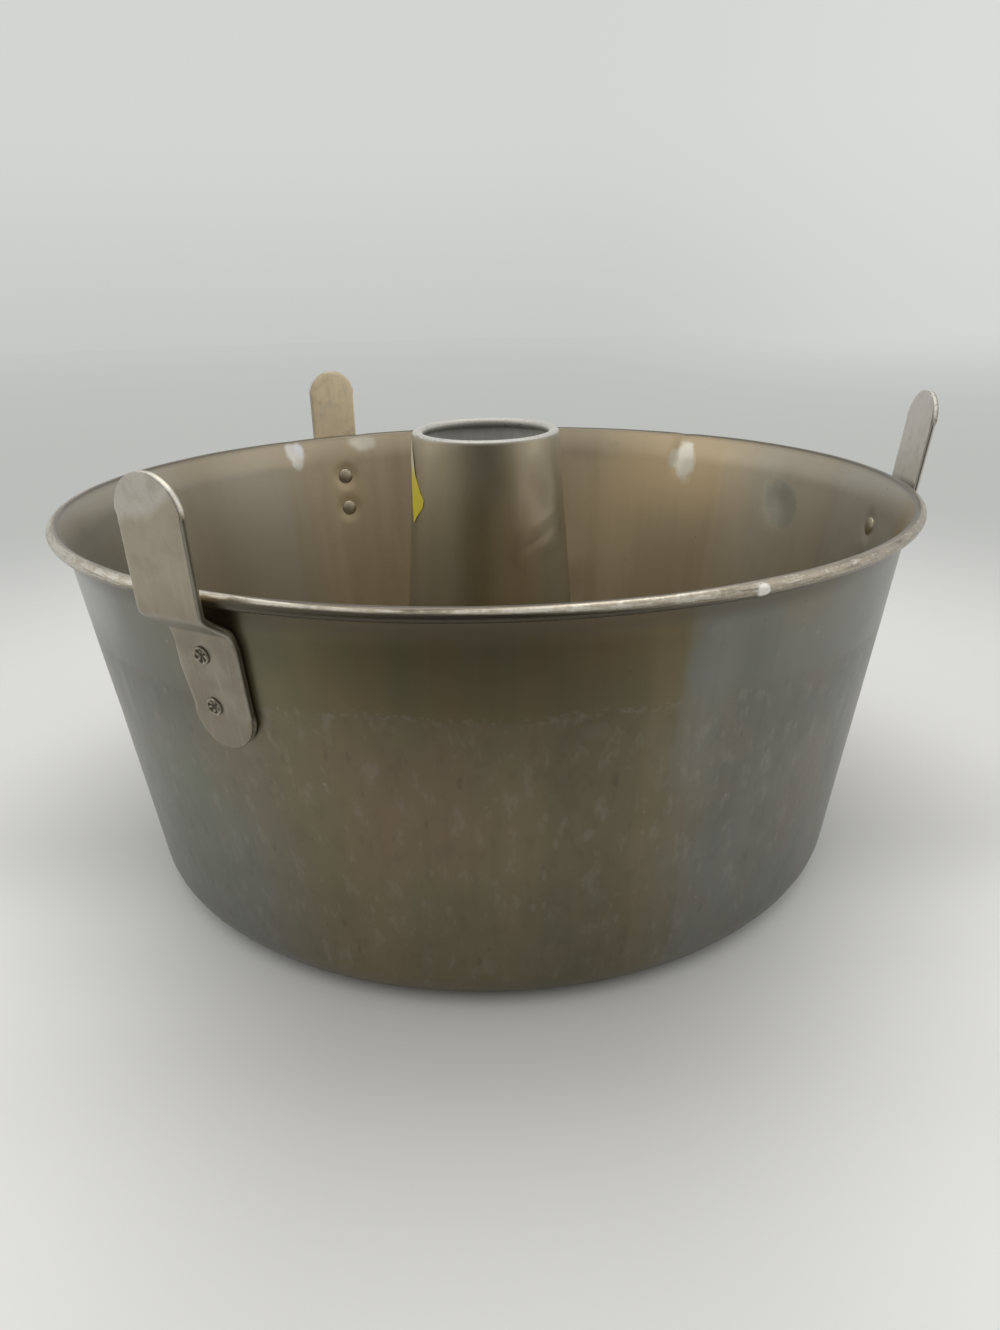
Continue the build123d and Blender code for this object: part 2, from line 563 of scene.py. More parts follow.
    def toned(self, graph: Graph, place: Signal, film: Signal, height: Signal, mottle: Signal,
                inner: bool) -> Signal:
        """Lay the tone patches of one face over its film, with painted shade and highlights among them, and
        faint bands over them.

        Args:
            graph: The material's nodes.
            place: Position on the object.
            film: The face's colour.
            height: Height of the place.
            mottle: Noise about 0.5.
            inner: True for the inner face.

        Returns:
            The stained film.
        """
        narrow = graph.noise(graph.wrapped(place, 34.0, 5.0), 1.0, 2.0, 0.55)
        drift = graph.noise(place, 45.0, 2.0)
        bearing = graph.bearing(place) + (narrow - 0.5) * 4.0 + (drift - 0.5) * self.wander
        uneven = height + (narrow - 0.5) * 0.004 + (drift - 0.5) * 0.010
        for tone_patch in self.tone_patches:
            if tone_patch.inner == inner:
                film = graph.mix(tone_patch.spread(bearing, uneven), film, tone_patch.tone)
        shade = (narrow - 0.5) * (0.34 * self.bands) + (drift - 0.5) * 0.30 + (mottle - 0.5) * 0.14
        film = graph.mix(shade.ramp(0.0, 0.30) * 0.16, film, self.pale)
        return graph.mix(shade.ramp(0.0, -0.30) * 0.24, film, self.grime)

    def marked(self, graph: Graph, place: Signal, colour: Signal, grain: Signal,
               mottle: Signal) -> Signal:
        """Add specks, small blots and faint handling marks.

        Args:
            graph: The material's nodes.
            place: Position on the object.
            colour: The sheet's colour.
            grain: Fine noise about 0.5.
            mottle: Coarser noise about 0.5.

        Returns:
            The marked colour.
        """
        distance, chance = graph.cells(place, 190.0)
        ragged = distance + (grain - 0.5) * 0.2
        spot = ragged.ramp(0.10, 0.05)
        colour = graph.mix(spot * chance.ramp(0.90, 0.92) * 0.40 * self.marks, colour, self.grime)
        colour = graph.mix(spot * chance.ramp(0.10, 0.08) * 0.30 * self.marks, colour, self.pale)
        wide, luck = graph.cells(place, 75.0)
        blot = (wide + (mottle - 0.5) * 0.9).ramp(0.20, 0.12)
        colour = graph.mix(blot * luck.ramp(0.80, 0.82) * 0.05 * self.marks, colour, self.pale)
        colour = graph.mix(blot * luck.ramp(0.14, 0.12) * 0.08 * self.marks, colour, self.grime)
        return colour


@dataclass(frozen=True)
class Strap(Finish):
    """Satin strap, paler at its top, with a bright sheared end, grime and painted shade at its bends, and
    painted light and shade on its narrow sides.

    The mesh says where its sheared ends, its sides, its corners, its grime with painted shade and its inner
    face are, as cut, side, corner, soil and inner.
    """

    top: Colour = (0.520, 0.490, 0.425)
    face: Colour = (0.372, 0.325, 0.245)
    low: Colour = (0.240, 0.206, 0.148)
    back: Colour = (0.720, 0.600, 0.415)
    # painted shade on the narrow sides; a leg's strap may set a lighter tone there, as painted light
    side: Colour = (0.230, 0.210, 0.165)
    cut: Colour = (0.720, 0.700, 0.640)
    grime: Colour = (0.110, 0.095, 0.070)
    top_span: Point = (0.1300, 0.1340)
    low_span: Point = (0.119, 0.101)
    slant: float = 0.4
    middle: float = 0.068
    rough: float = 0.42

    def shade(self, graph: Graph) -> None:
        """Build the nodes.

        Args:
            graph: The material's empty tree.
        """
        place = graph.place()
        names = ("cut", "side", "corner", "soil_and_shade", "inner")
        cut, side, corner, soil_and_shade, inner = (graph.attribute(name) for name in names)
        burr = graph.attribute("burr")
        cloud = graph.noise(place, 70.0, 3.0)
        mottle = graph.noise(place, 240.0, 4.0, 0.6)
        grain = graph.noise(place, 1500.0, 2.0)
        drawn = graph.noise(place, (650.0, 650.0, 22.0), 3.0, 0.6)
        height = graph.add("ShaderNodeSeparateXYZ", {}, {0: place}, "Z")
        across = graph.add("ShaderNodeSeparateXYZ", {}, {0: place}, "X") + self.middle
        slanted = height - across * self.slant + (cloud - 0.5) * 0.006
        colour = graph.mix(slanted.ramp(*self.top_span), self.face, self.top)
        colour = graph.mix((height + (cloud - 0.5) * 0.016).ramp(*self.low_span), colour, self.low)
        colour = graph.mix(inner, colour, self.back)
        colour = graph.mix(mottle.ramp(0.46, 0.75) * 0.30, colour, self.low)
        colour = graph.mix(cloud.ramp(0.50, 0.66) * 0.18, colour, self.top)
        colour = graph.mix(drawn.ramp(0.52, 0.68) * 0.12, colour, self.top)
        # narrow sides: painted light and shade in the strap's side tone
        colour = graph.mix(side * (1 - cut) * (0.75 + grain * 0.25), colour, self.side)
        worn = corner * (1 - cut) * (1 - inner) * mottle.ramp(0.34, 0.50)
        colour = graph.mix(worn * 0.75, colour, self.cut)
        coarse = graph.noise(place, 1300.0, 3.0, 0.65)
        sheared = cut * side * (0.25 + 0.75 * coarse.ramp(0.40, 0.55))
        colour = graph.mix(sheared, colour, self.cut)
        # grime with painted shade below the joggle and round the rivets, and a dark burr line on the cut
        # ends
        dirt_and_shade = (soil_and_shade + (mottle - 0.5) * 0.6).ramp(0.35, 0.95) + burr * cut * mottle.ramp(0.30, 0.45)
        colour = graph.mix(dirt_and_shade * 0.8, colour, self.grime)
        rough = self.rough + (mottle - 0.5) * 0.2 + dirt_and_shade * 0.1
        normal = graph.bump(drawn * 0.7 + grain * 0.6, 0.00006, 0.6)
        graph.surface(Base_Color=colour, Metallic=0.9, Roughness=rough, Normal=normal,
                      Coat_Weight=0.5, Coat_Roughness=0.35, Coat_IOR=1.5)


@dataclass(frozen=True)
class RivetMetal(Finish):
    """Dull rivet metal, with dirt and painted shade in its hollow, round its rolled end and where it meets
    the strap.
    """

    face: Colour = (0.340, 0.305, 0.240)
    worn: Colour = (0.400, 0.365, 0.290)
    head: Colour = (0.300, 0.262, 0.190)
    dark: Colour = (0.105, 0.093, 0.070)

    def shade(self, graph: Graph) -> None:
        """Build the nodes.

        Args:
            graph: The material's empty tree.
        """
        place = graph.place()
        soil_and_shade = graph.attribute("soil_and_shade")
        grain = graph.noise(place, 1800.0, 3.0, 0.6)
        mottle = graph.noise(place, 500.0, 3.0)
        colour = graph.mix(mottle.ramp(0.4, 0.6), self.face, self.worn)
        colour = graph.mix(graph.attribute("inner"), colour, self.head)
        # dirt with painted shade in the hollow and round the rolled end
        dirt_and_shade = (soil_and_shade + (grain - 0.5) * 0.8).ramp(0.25, 0.8)
        colour = graph.mix(dirt_and_shade, colour, self.dark)
        rough = 0.38 + dirt_and_shade * 0.3 + (grain - 0.5) * 0.2
        normal = graph.bump(grain, 0.00006, 0.7)
        graph.surface(Base_Color=colour, Metallic=0.85, Roughness=rough, Normal=normal)


@dataclass(frozen=True)
class LabelPaper(Finish):
    """Torn scrap of a glossy yellow label, white where its print has gone."""

    yellow: Colour = (0.62, 0.52, 0.03)
    white: Colour = (0.62, 0.58, 0.44)

    def shade(self, graph: Graph) -> None:
        """Build the nodes.

        Args:
            graph: The material's empty tree.
        """
        place = graph.place()
        height = graph.add("ShaderNodeSeparateXYZ", {}, {0: place}, "Z")
        fibre = graph.noise(place, 900.0, 3.0)
        torn = (height + (fibre - 0.5) * 0.006).ramp(0.117, 0.123)
        colour = graph.mix(torn, self.yellow, self.white)
        graph.surface(Base_Color=colour, Roughness=0.45, Normal=graph.bump(fibre, 0.00004, 0.5))


@dataclass(frozen=True)
class StudioFloor(Finish):
    """Matt pale paper that runs out into the backdrop's tone, with painted light on its front corners and a
    painted dark reflection in front of the pan.
    """

    paper: Colour = (0.68, 0.68, 0.665)
    corner_painted_light: Colour = (0.86, 0.86, 0.845)
    backdrop: Colour = (0.505, 0.515, 0.495)
    far_backdrop: Colour = (0.555, 0.565, 0.55)
    backdrop_right: Colour = (0.76, 0.77, 0.76)
    fade_from: float = 0.16
    fade_to: float = 0.60
    dark_from: float = 0.17
    dark_to: float = 0.26
    grain_paper: Colour = (0.6, 0.6, 0.58)
    gloom_tone: Colour = (0.085, 0.082, 0.072)
    corner_light_share: float = 0.85
    far_span: Point = (0.7, 3.0)
    right_span: Point = (0.05, 0.45)
    right_share: float = 0.5

    def shade(self, graph: Graph) -> None:
        """Build the nodes.

        Args:
            graph: The material's empty tree.
        """
        place = graph.place()
        grain = graph.noise(place, 500.0, 2.0)
        seen = graph.add("ShaderNodeLightPath", output="Is Camera Ray")
        forward = graph.add("ShaderNodeSeparateXYZ", {}, {0: place}, "Y") * -1.0
        aside = abs(graph.add("ShaderNodeSeparateXYZ", {}, {0: place}, "X"))
        paper = graph.mix(grain * 0.06, self.paper, self.grain_paper)
        # painted light: the paper is lightened in the front corners, for camera rays only
        corner = aside.ramp(0.03, 0.11) * forward.ramp(0.02, 0.08) * (1 - forward.ramp(0.10, 0.15) * 0.4)
        paper = graph.mix(corner * seen * self.corner_light_share, paper, self.corner_painted_light)
        matt = graph.add("ShaderNodeBsdfDiffuse", {}, {"Color": paper})
        away = graph.add("ShaderNodeVectorMath", {"operation": "LENGTH"}, {0: place}, "Value")
        far = away.ramp(self.fade_from, self.fade_to)
        distant = away.ramp(*self.far_span)
        tone = graph.mix(distant, self.backdrop, self.far_backdrop)
        east = graph.add("ShaderNodeSeparateXYZ", {}, {0: place}, "X") / away
        right = east.ramp(*self.right_span) * distant * self.right_share
        tone = graph.mix(right, tone, self.backdrop_right)
        glow = graph.add("ShaderNodeEmission", {}, {"Color": tone, "Strength": 1.0})
        shader = graph.add("ShaderNodeMixShader", {}, {0: far * seen, 1: matt, 2: glow})
        # painted reflection: a dark patch in front of the pan that only glossy rays see, standing in for the
        # dark room
        mirrored = graph.add("ShaderNodeLightPath", output="Is Glossy Ray")
        shade = graph.add("ShaderNodeEmission", {}, {"Color": self.gloom_tone, "Strength": 1.0})
        gloom = forward.ramp(self.dark_from, self.dark_to) * aside.ramp(0.34, 0.20) * mirrored
        shader = graph.add("ShaderNodeMixShader", {}, {0: gloom, 1: shader, 2: shade})
        graph.show("ShaderNodeOutputMaterial", shader)


# Meshes


FINE_STEP = 5e-5
FINE_TURN = 0.05


@dataclass(frozen=True)
class Stretch:
    """Part of a line with one curvature, which is zero if straight and above zero if turning left."""

    length: float
    curvature: float = 0.0


class Profile:
    """Middle line of a sheet's section: runs, rounded corners and perhaps a rolled end."""

    def __init__(self, corners: Sequence[Point], radii: Sequence[float],
                 roll: Stretch | None = None) -> None:
        """Round the corners and add the roll.

        Args:
            corners: Radius and height of each corner, the two ends included.
            radii: Bend radius at each corner between the ends.
            roll: A curl that goes on from the last run.
        """
        points = [np.array(corner) for corner in corners]
        runs = [after - before for before, after in zip(points, points[1:])]
        headings = [math.atan2(run[1], run[0]) for run in runs]
        turns = [math.remainder(after - before, math.tau) for before, after in zip(headings, headings[1:])]
        cuts = [0.0, *(radius * math.tan(abs(turn) / 2) for radius, turn in zip(radii, turns)), 0.0]
        self.start = points[0]
        self.heading = headings[0]
        self.stretches: list[Stretch] = []
        for index, run in enumerate(runs):
            self.stretches.append(Stretch(float(np.hypot(*run)) - cuts[index] - cuts[index + 1]))
            if index < len(turns):
                radius, turn = radii[index], turns[index]
                self.stretches.append(Stretch(radius * abs(turn), math.copysign(1 / radius, turn)))
        self.roll_start = self.length
        if roll is not None:
            self.stretches.append(roll)

    @property
    def length(self) -> float:
        """Length of the whole line."""
        return sum(stretch.length for stretch in self.stretches)

    def sample(self, stations: Array) -> tuple[Array, Array]:
        """Find points on the line.

        Args:
            stations: Lengths along the line.

        Returns:
            The points, and the unit normals to the right of the line's way, one row each.
        """
        points = np.zeros((len(stations), 2))
        headings = np.zeros(len(stations))
        corner, heading, begin = self.start.copy(), self.heading, 0.0
        for stretch in self.stretches:
            past = np.asarray(stations) >= begin - 1e-9
            along = np.asarray(stations)[past] - begin
            points[past] = corner + self._travel(heading, stretch.curvature, along)
            headings[past] = heading + stretch.curvature * along
            corner = corner + self._travel(heading, stretch.curvature, np.array([stretch.length]))[0]
            heading += stretch.curvature * stretch.length
            begin += stretch.length
        return points, np.stack([np.sin(headings), -np.cos(headings)], 1)

    @staticmethod
    def _travel(heading: float, curvature: float, along: Array) -> Array:
        """Displacement after some length of one stretch.

        Args:
            heading: Angle of its start, in radians.
            curvature: Radians turned for each metre.
            along: Lengths along it.

        Returns:
            One row for each length: the step across and up.
        """
        if curvature == 0:
            return np.stack([np.cos(heading) * along, np.sin(heading) * along], 1)
        ahead = heading + curvature * along
        steps = [np.sin(ahead) - math.sin(heading), math.cos(heading) - np.cos(ahead)]
        return np.stack(steps, 1) / curvature

    def stations(self, spacing: float, turn: float = 12.0,
                 finer: Sequence[tuple[float, float, float]] = ()) -> Array:
        """Divide the line.

        Args:
            spacing: Largest step along straight runs.
            turn: Largest turn from one station to the next, in degrees.
            finer: Start, end and step of zones that need smaller steps.

        Returns:
            The stations, from 0 to the length.
        """
        fine = self._fine()
        step = np.full(len(fine), spacing)
        begin = 0.0
        for stretch in self.stretches:
            if stretch.curvature:
                inside = (fine >= begin) & (fine <= begin + stretch.length)
                step[inside] = np.minimum(step[inside], math.radians(turn) / abs(stretch.curvature))
            begin += stretch.length
        for low, high, small in finer:
            zone = (fine >= low) & (fine <= high)
            step[zone] = np.minimum(step[zone], small)
        need = np.concatenate([[0.0], np.cumsum(np.diff(fine) * 2 / (step[1:] + step[:-1]))])
        count = int(math.ceil(need[-1])) + 1
        return np.interp(np.linspace(0.0, need[-1], count), need, fine)

    def station_at(self, height: float) -> float:
        """Find where the line first reaches a height.

        Args:
            height: The height.

        Returns:
            The station.
        """
        fine = self._fine()
        reached = self.sample(fine)[0][:, 1] >= height
        return float(fine[int(np.argmax(reached))])

    def _fine(self) -> Array:
        """Close stations over the whole line."""
        return np.linspace(0.0, self.length, int(self.length / FINE_STEP) + 2)


def azimuths(step: float, finer: Sequence[tuple[float, float, float]] = ()) -> Array:
    """Divide the turn about the axis.

    Args:
        step: Largest step.
        finer: Middle, half width and step of zones that need smaller steps.

    Returns:
        The azimuths, from 0 up to less than 360.
    """
    fine = np.arange(0.0, 360.0, FINE_TURN)
    size = np.full(len(fine), step)
    for middle, half, small in finer:
        size[np.abs(away_from(fine, middle)) <= half] = small
    need = np.concatenate([[0.0], np.cumsum(FINE_TURN / size)])
    count = int(math.ceil(need[-1]))
    return np.interp(np.linspace(0.0, need[-1], count + 1)[:-1], need, np.append(fine, 360.0))


def away_from(azimuth: Array, middle: float) -> Array:
    """Signed angle from a middle azimuth, in degrees."""
    return (azimuth - middle + 180) % 360 - 180


def lobe(azimuth: Array, middle: float, spread: float) -> Array:
    """Bell of height 1 about a middle azimuth, with a spread in degrees."""
    return np.exp(-(away_from(azimuth, middle) / spread) ** 2)


def dish(away: Array, depth: float) -> Array:
    """Depth of a round dish at distances from its middle, in shares of its radius."""
    return depth * np.clip(1 - away**2, 0, 1) ** 1.5


def about_axis(out: Array, side: Array, height: Array, azimuth: float) -> Array:
    """Turn points that lie about the plane at +X.

    Args:
        out: Their distances from the axis along that plane.
        side: Their distances from the plane.
        height: Their heights.
        azimuth: How far they turn, in degrees.

    Returns:
        The points, with their three coordinates last.
    """
    turn = math.radians(azimuth)
    x = out * math.cos(turn) - side * math.sin(turn)
    y = out * math.sin(turn) + side * math.cos(turn)
    return np.stack([x, y, height], -1)


def make_piece(name: str, points: Array, faces: Sequence[Sequence[int]], finish: Finish,
               attributes: dict[str, Array] | None = None, sharp: float = 40.0) -> bpy.types.Object:
    """Make an object from points and faces.

    Args:
        name: Name of the object.
        points: Its points, one row each.
        faces: The points of each face.
        finish: What it wears.
        attributes: Numbers for each point, by name.
        sharp: Faces that meet at a larger angle have a crisp edge.

    Returns:
        The object, linked to the scene.
    """
    mesh = bpy.data.meshes.new(name)
    mesh.from_pydata(points.tolist(), [], [list(face) for face in faces])
    for label, values in (attributes or {}).items():
        layer = mesh.attributes.new(label, "FLOAT", "POINT")
        layer.data.foreach_set("value", np.asarray(values, np.float32).ravel())
    shaped = bmesh.new()
    shaped.from_mesh(mesh)
    bmesh.ops.recalc_face_normals(shaped, faces=shaped.faces)
    shaped.to_mesh(mesh)
    shaped.free()
    mesh.polygons.foreach_set("use_smooth", [True] * len(mesh.polygons))
    mesh.set_sharp_from_angle(angle=math.radians(sharp))
    mesh.materials.append(finish.material())
    piece = bpy.data.objects.new(name, mesh)
    bpy.context.scene.collection.objects.link(piece)
    return piece


def ring_faces(columns: int, rows: int, closed_rows: bool = True) -> Array:
    """Quads over a grid whose columns close on themselves.

    Args:
        columns: Number of columns.
        rows: Points in each column.
        closed_rows: True if the last point of a column also meets its first.

    Returns:
        The faces, one row of four points each.
    """
    column = np.arange(columns)[:, None]
    row = np.arange(rows if closed_rows else rows - 1)[None, :]
    after, above = (column + 1) % columns, (row + 1) % rows
    corners = [column * rows + row, after * rows + row, after * rows + above, column * rows + above]
    return np.stack([np.broadcast_to(corner, (columns, row.size)) for corner in corners], -1).reshape(-1, 4)


@dataclass(frozen=True)
class Dent:
    """Smooth dent or bulge in a spun sheet."""

    azimuth: float
    height: float
    half_around: float
    half_up: float
    depth: float
    tilt: float = 0.0
    fall: float = 2.2

    def push(self, azimuth: Array, radius: Array, height: Array) -> Array:
        """How far it moves each point of the sheet outwards.

        Args:
            azimuth: Azimuths of the points, in degrees.
            radius: Their radii.
            height: Their heights.

        Returns:
            The move of each point, along the outer normal.
        """
        around = np.radians(away_from(azimuth, self.azimuth)) * radius
        up = height - self.height
        swing = math.radians(self.tilt)
        across = (around * math.cos(swing) + up * math.sin(swing)) / self.half_around
        along = (up * math.cos(swing) - around * math.sin(swing)) / self.half_up
        return self.depth * np.exp(-self.fall * (across**2 + along**2))


@dataclass(frozen=True)
class Ripple:
    """Slight unevenness of a hand-spun sheet: smooth waves about the axis and along it."""

    seed: int
    height: float
    count: int = 14
    longest: int = 3
    shortest: int = 22
    steepest: float = 60.0

    def push(self, azimuth: Array, radius: Array, height: Array) -> Array:
        """How far it moves each point of the sheet outwards.

        Args:
            azimuth: Azimuths of the points, in degrees.
            radius: Their radii, not used.
            height: Their heights.

        Returns:
            The move of each point, along the outer normal.
        """
        draw = np.random.default_rng(self.seed)
        total = np.zeros(np.broadcast(azimuth, height).shape)
        for _ in range(self.count):
            waves = int(draw.integers(self.longest, self.shortest))
            rise = draw.uniform(-self.steepest, self.steepest)
            phase = draw.uniform(0, math.tau)
            total = total + np.cos(np.radians(azimuth) * waves + height * rise + phase) / waves
        return total * self.height


def spin(name: str, profile: Profile, stations: Array, columns: Array, sheet: float, push: Push,
         finish: Finish, worn: Callable[[Array, Array], Array]) -> bpy.types.Object:
    """Spin a sheet about the axis.

    Args:
        name: Name of the object.
        profile: Middle line of the section. Its right side is the outer face.
        stations: Lengths along the line where the sheet has points.
        columns: Azimuths where it has points.
        sheet: Thickness.
        push: Gives how far each point of the middle moves along the outer normal, from its
            azimuth, radius and height.
        finish: What it wears.
        worn: Gives how rubbed the sheet is, from azimuths and stations.

    Returns:
        The object.
    """
    middle, normal = profile.sample(stations)
    azimuth = columns[:, None]
    shift = push(azimuth, middle[None, :, 0], middle[None, :, 1])
    shift = np.broadcast_to(shift, (len(columns), len(stations)))
    faces_out = []
    for side in (sheet / 2, -sheet / 2):
        radius = middle[None, :, 0] + normal[None, :, 0] * (shift + side)
        height = middle[None, :, 1] + normal[None, :, 1] * (shift + side)
        faces_out.append(np.stack([radius, height], -1))
    outer, inner = faces_out
    ahead = middle[-1] - middle[-2]
    back = middle[0] - middle[1]
    end = (outer[:, -1:] + inner[:, -1:]) / 2 + ahead / np.hypot(*ahead) * sheet * 0.3
    start = (outer[:, :1] + inner[:, :1]) / 2 + back / np.hypot(*back) * sheet * 0.3
    loop = np.concatenate([outer, end, inner[:, ::-1], start], 1)
    turn = np.radians(azimuth)
    points = np.stack([loop[..., 0] * np.cos(turn), loop[..., 0] * np.sin(turn), loop[..., 1]], -1)
    count = len(stations)
    face = np.concatenate([np.zeros(count), [0.5], np.ones(count), [0.5]])
    rubbed = np.broadcast_to(worn(azimuth, stations[None, :]), (len(columns), count))
    blank = np.zeros((len(columns), 1))
    wear = np.concatenate([rubbed, blank, rubbed[:, ::-1], blank], 1)
    curled = np.clip((stations - profile.roll_start) / 0.0006, 0, 1)
    rolled = np.concatenate([curled, curled[-1:], curled[::-1], curled[:1]])
    attributes = {"inner": np.broadcast_to(face, loop.shape[:2]), "worn": wear,
                  "roll": np.broadcast_to(rolled, loop.shape[:2])}
    faces = ring_faces(len(columns), loop.shape[1])
    return make_piece(name, points.reshape(-1, 3), faces, finish, attributes)


def settle(piece: bpy.types.Object, body: Body, slot: Slot, *nodes: str) -> None:
    """Let a piece ride on its body and stand for CAD nodes.

    Args:
        piece: The piece.
        body: The body that it rides on.
        slot: Its material slot, not used.
        nodes: The nodes that it stands for, if any.
    """
    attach(piece, body.value)
    if nodes:
        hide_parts(*nodes)
    log.info("%s: %d points, on %s", piece.name, len(piece.data.vertices), body.value)


# The pan


def lean(angle: float, length: float) -> Array:
    """Step along a sheet that leans out from upright by an angle."""
    return np.array([math.sin(math.radians(angle)), math.cos(math.radians(angle))]) * length


def facing(angle: float, length: float) -> Array:
    """Step square to such a sheet, away from the axis."""
    return np.array([math.cos(math.radians(angle)), -math.sin(math.radians(angle))]) * length


def climb(angle: float, height: float) -> Array:
    """Step along such a sheet that gains a height."""
    return np.array([math.tan(math.radians(angle)) * height, height])


@dataclass(frozen=True)
class LegPlace:
    """Where a leg stands and how it is bent."""

    name: str
    azimuth: float
    lean: float
    finish: Strap
    skew: float = 0.0
    shift: float = 0.0
    taper: float = 0.0


GREY_FILM: Colour = (0.180, 0.186, 0.160)
DARK_GREY_FILM_AND_PAINTED_SHADE: Colour = (0.098, 0.103, 0.090)
LIGHT_GREY_FILM_AND_PAINTED_HIGHLIGHT: Colour = (0.215, 0.222, 0.205)
GREEN_FILM: Colour = (0.168, 0.184, 0.130)
RED_FILM: Colour = (0.215, 0.158, 0.102)
DARK_OLIVE_FILM_AND_PAINTED_SHADE: Colour = (0.128, 0.118, 0.072)
GOLD_FILM: Colour = (0.580, 0.440, 0.255)
SMOKE_FILM: Colour = (0.510, 0.485, 0.410)
DUSK_FILM: Colour = (0.370, 0.343, 0.280)
ASH_FILM: Colour = (0.480, 0.478, 0.445)
RIM_FILM: Colour = (0.300, 0.250, 0.175)
HAZE_PAINTED_HIGHLIGHT: Colour = (0.340, 0.345, 0.335)

PAN_TONE_PATCHES: tuple[TonePatch, ...] = (
    TonePatch(326.0, 34.5, 0.084, 0.13, GREY_FILM, 0.92, 1.2),
    TonePatch(328.0, 34.5, -0.01, 0.086, GREY_FILM, 0.88, 7.0),
    TonePatch(198.0, 40.0, -0.01, 0.13, GREY_FILM, 0.92, 14.0),
    TonePatch(294.0, 2.8, 0.060, 0.103, LIGHT_GREY_FILM_AND_PAINTED_HIGHLIGHT, 0.40, 2.4, fade=0.014),
    TonePatch(299.0, 5.0, -0.01, 0.048, LIGHT_GREY_FILM_AND_PAINTED_HIGHLIGHT, 0.45, 3.0),
    TonePatch(299.5, 2.6, 0.040, 0.105, DARK_GREY_FILM_AND_PAINTED_SHADE, 0.28, 2.4, fade=0.012),
    # painted shade: a darker stretch on the right of the outer wall, standing in for a dark reflection
    TonePatch(313.0, 11.0, 0.066, 0.090, DARK_GREY_FILM_AND_PAINTED_SHADE, 0.38, 7.0, fade=0.012),
    # painted shade that dulls the reflected highlight near the right edge of the outer wall
    TonePatch(333.0, 12.0, 0.045, 0.104, DARK_GREY_FILM_AND_PAINTED_SHADE, 0.30, 6.0, fade=0.012),
    # the next four stretches paint the reflected highlight streak on the left of the outer wall: painted
    # shade in its middle, painted highlights above and below it
    TonePatch(224.0, 11.0, 0.072, 0.092, DARK_GREY_FILM_AND_PAINTED_SHADE, 0.45, 7.0, fade=0.012),
    TonePatch(208.0, 14.0, 0.092, 0.120, HAZE_PAINTED_HIGHLIGHT, 0.80, 5.0),
    TonePatch(195.0, 6.0, 0.074, 0.100, HAZE_PAINTED_HIGHLIGHT, 0.60, 4.0),
    TonePatch(216.0, 26.0, -0.01, 0.054, LIGHT_GREY_FILM_AND_PAINTED_HIGHLIGHT, 0.62, 8.0, fade=0.010),
    TonePatch(320.0, 16.0, -0.01, 0.028, LIGHT_GREY_FILM_AND_PAINTED_HIGHLIGHT, 0.45, 8.0, fade=0.014),
    TonePatch(228.0, 8.0, 0.022, 0.064, GREEN_FILM, 0.60, 6.0),
    # painted shadow of the front leg, just beside it under the rim
    TonePatch(247.0, 3.0, 0.096, 0.120, DARK_OLIVE_FILM_AND_PAINTED_SHADE, 0.70, 2.0),
    TonePatch(262.0, 7.0, 0.044, 0.078, RED_FILM, 0.55, 4.0),
    TonePatch(273.0, 14.0, -0.01, 0.040, DARK_OLIVE_FILM_AND_PAINTED_SHADE, 0.35, 6.0),
    # painted shade: a darker upright band at the front, standing in for the reflection of the dark room
    TonePatch(282.0, 6.0, -0.01, 0.094, DARK_OLIVE_FILM_AND_PAINTED_SHADE, 0.50, 3.0),
    TonePatch(306.5, 4.0, 0.101, 0.120, RED_FILM, 0.45, 2.0),
    TonePatch(52.0, 14.0, 0.082, 0.130, GOLD_FILM, 0.70, 9.0, True, 0.016),
    TonePatch(66.0, 9.0, 0.054, 0.096, GOLD_FILM, 0.35, 6.0, True, 0.016),
    TonePatch(24.0, 12.0, -0.01, 0.130, SMOKE_FILM, 0.80, 9.0, True),
    TonePatch(143.0, 13.0, -0.01, 0.130, DUSK_FILM, 0.75, 7.0, True),
    TonePatch(0.0, 13.0, -0.01, 0.130, ASH_FILM, 0.90, 4.0, True),
    TonePatch(202.0, 44.0, -0.01, 0.130, ASH_FILM, 0.88, 8.0, True),
    TonePatch(120.0, 2.6, 0.078, 0.104, GOLD_FILM, 0.35, 2.0, True, 0.012),
    TonePatch(84.0, 16.0, 0.106, 0.130, RIM_FILM, 0.50, 6.0, True),
    TonePatch(180.0, 190.0, 0.1065, 0.130, RIM_FILM, 0.50, 1.0, True),
    TonePatch(138.0, 18.0, 0.104, 0.130, RIM_FILM, 0.40, 4.0, True))

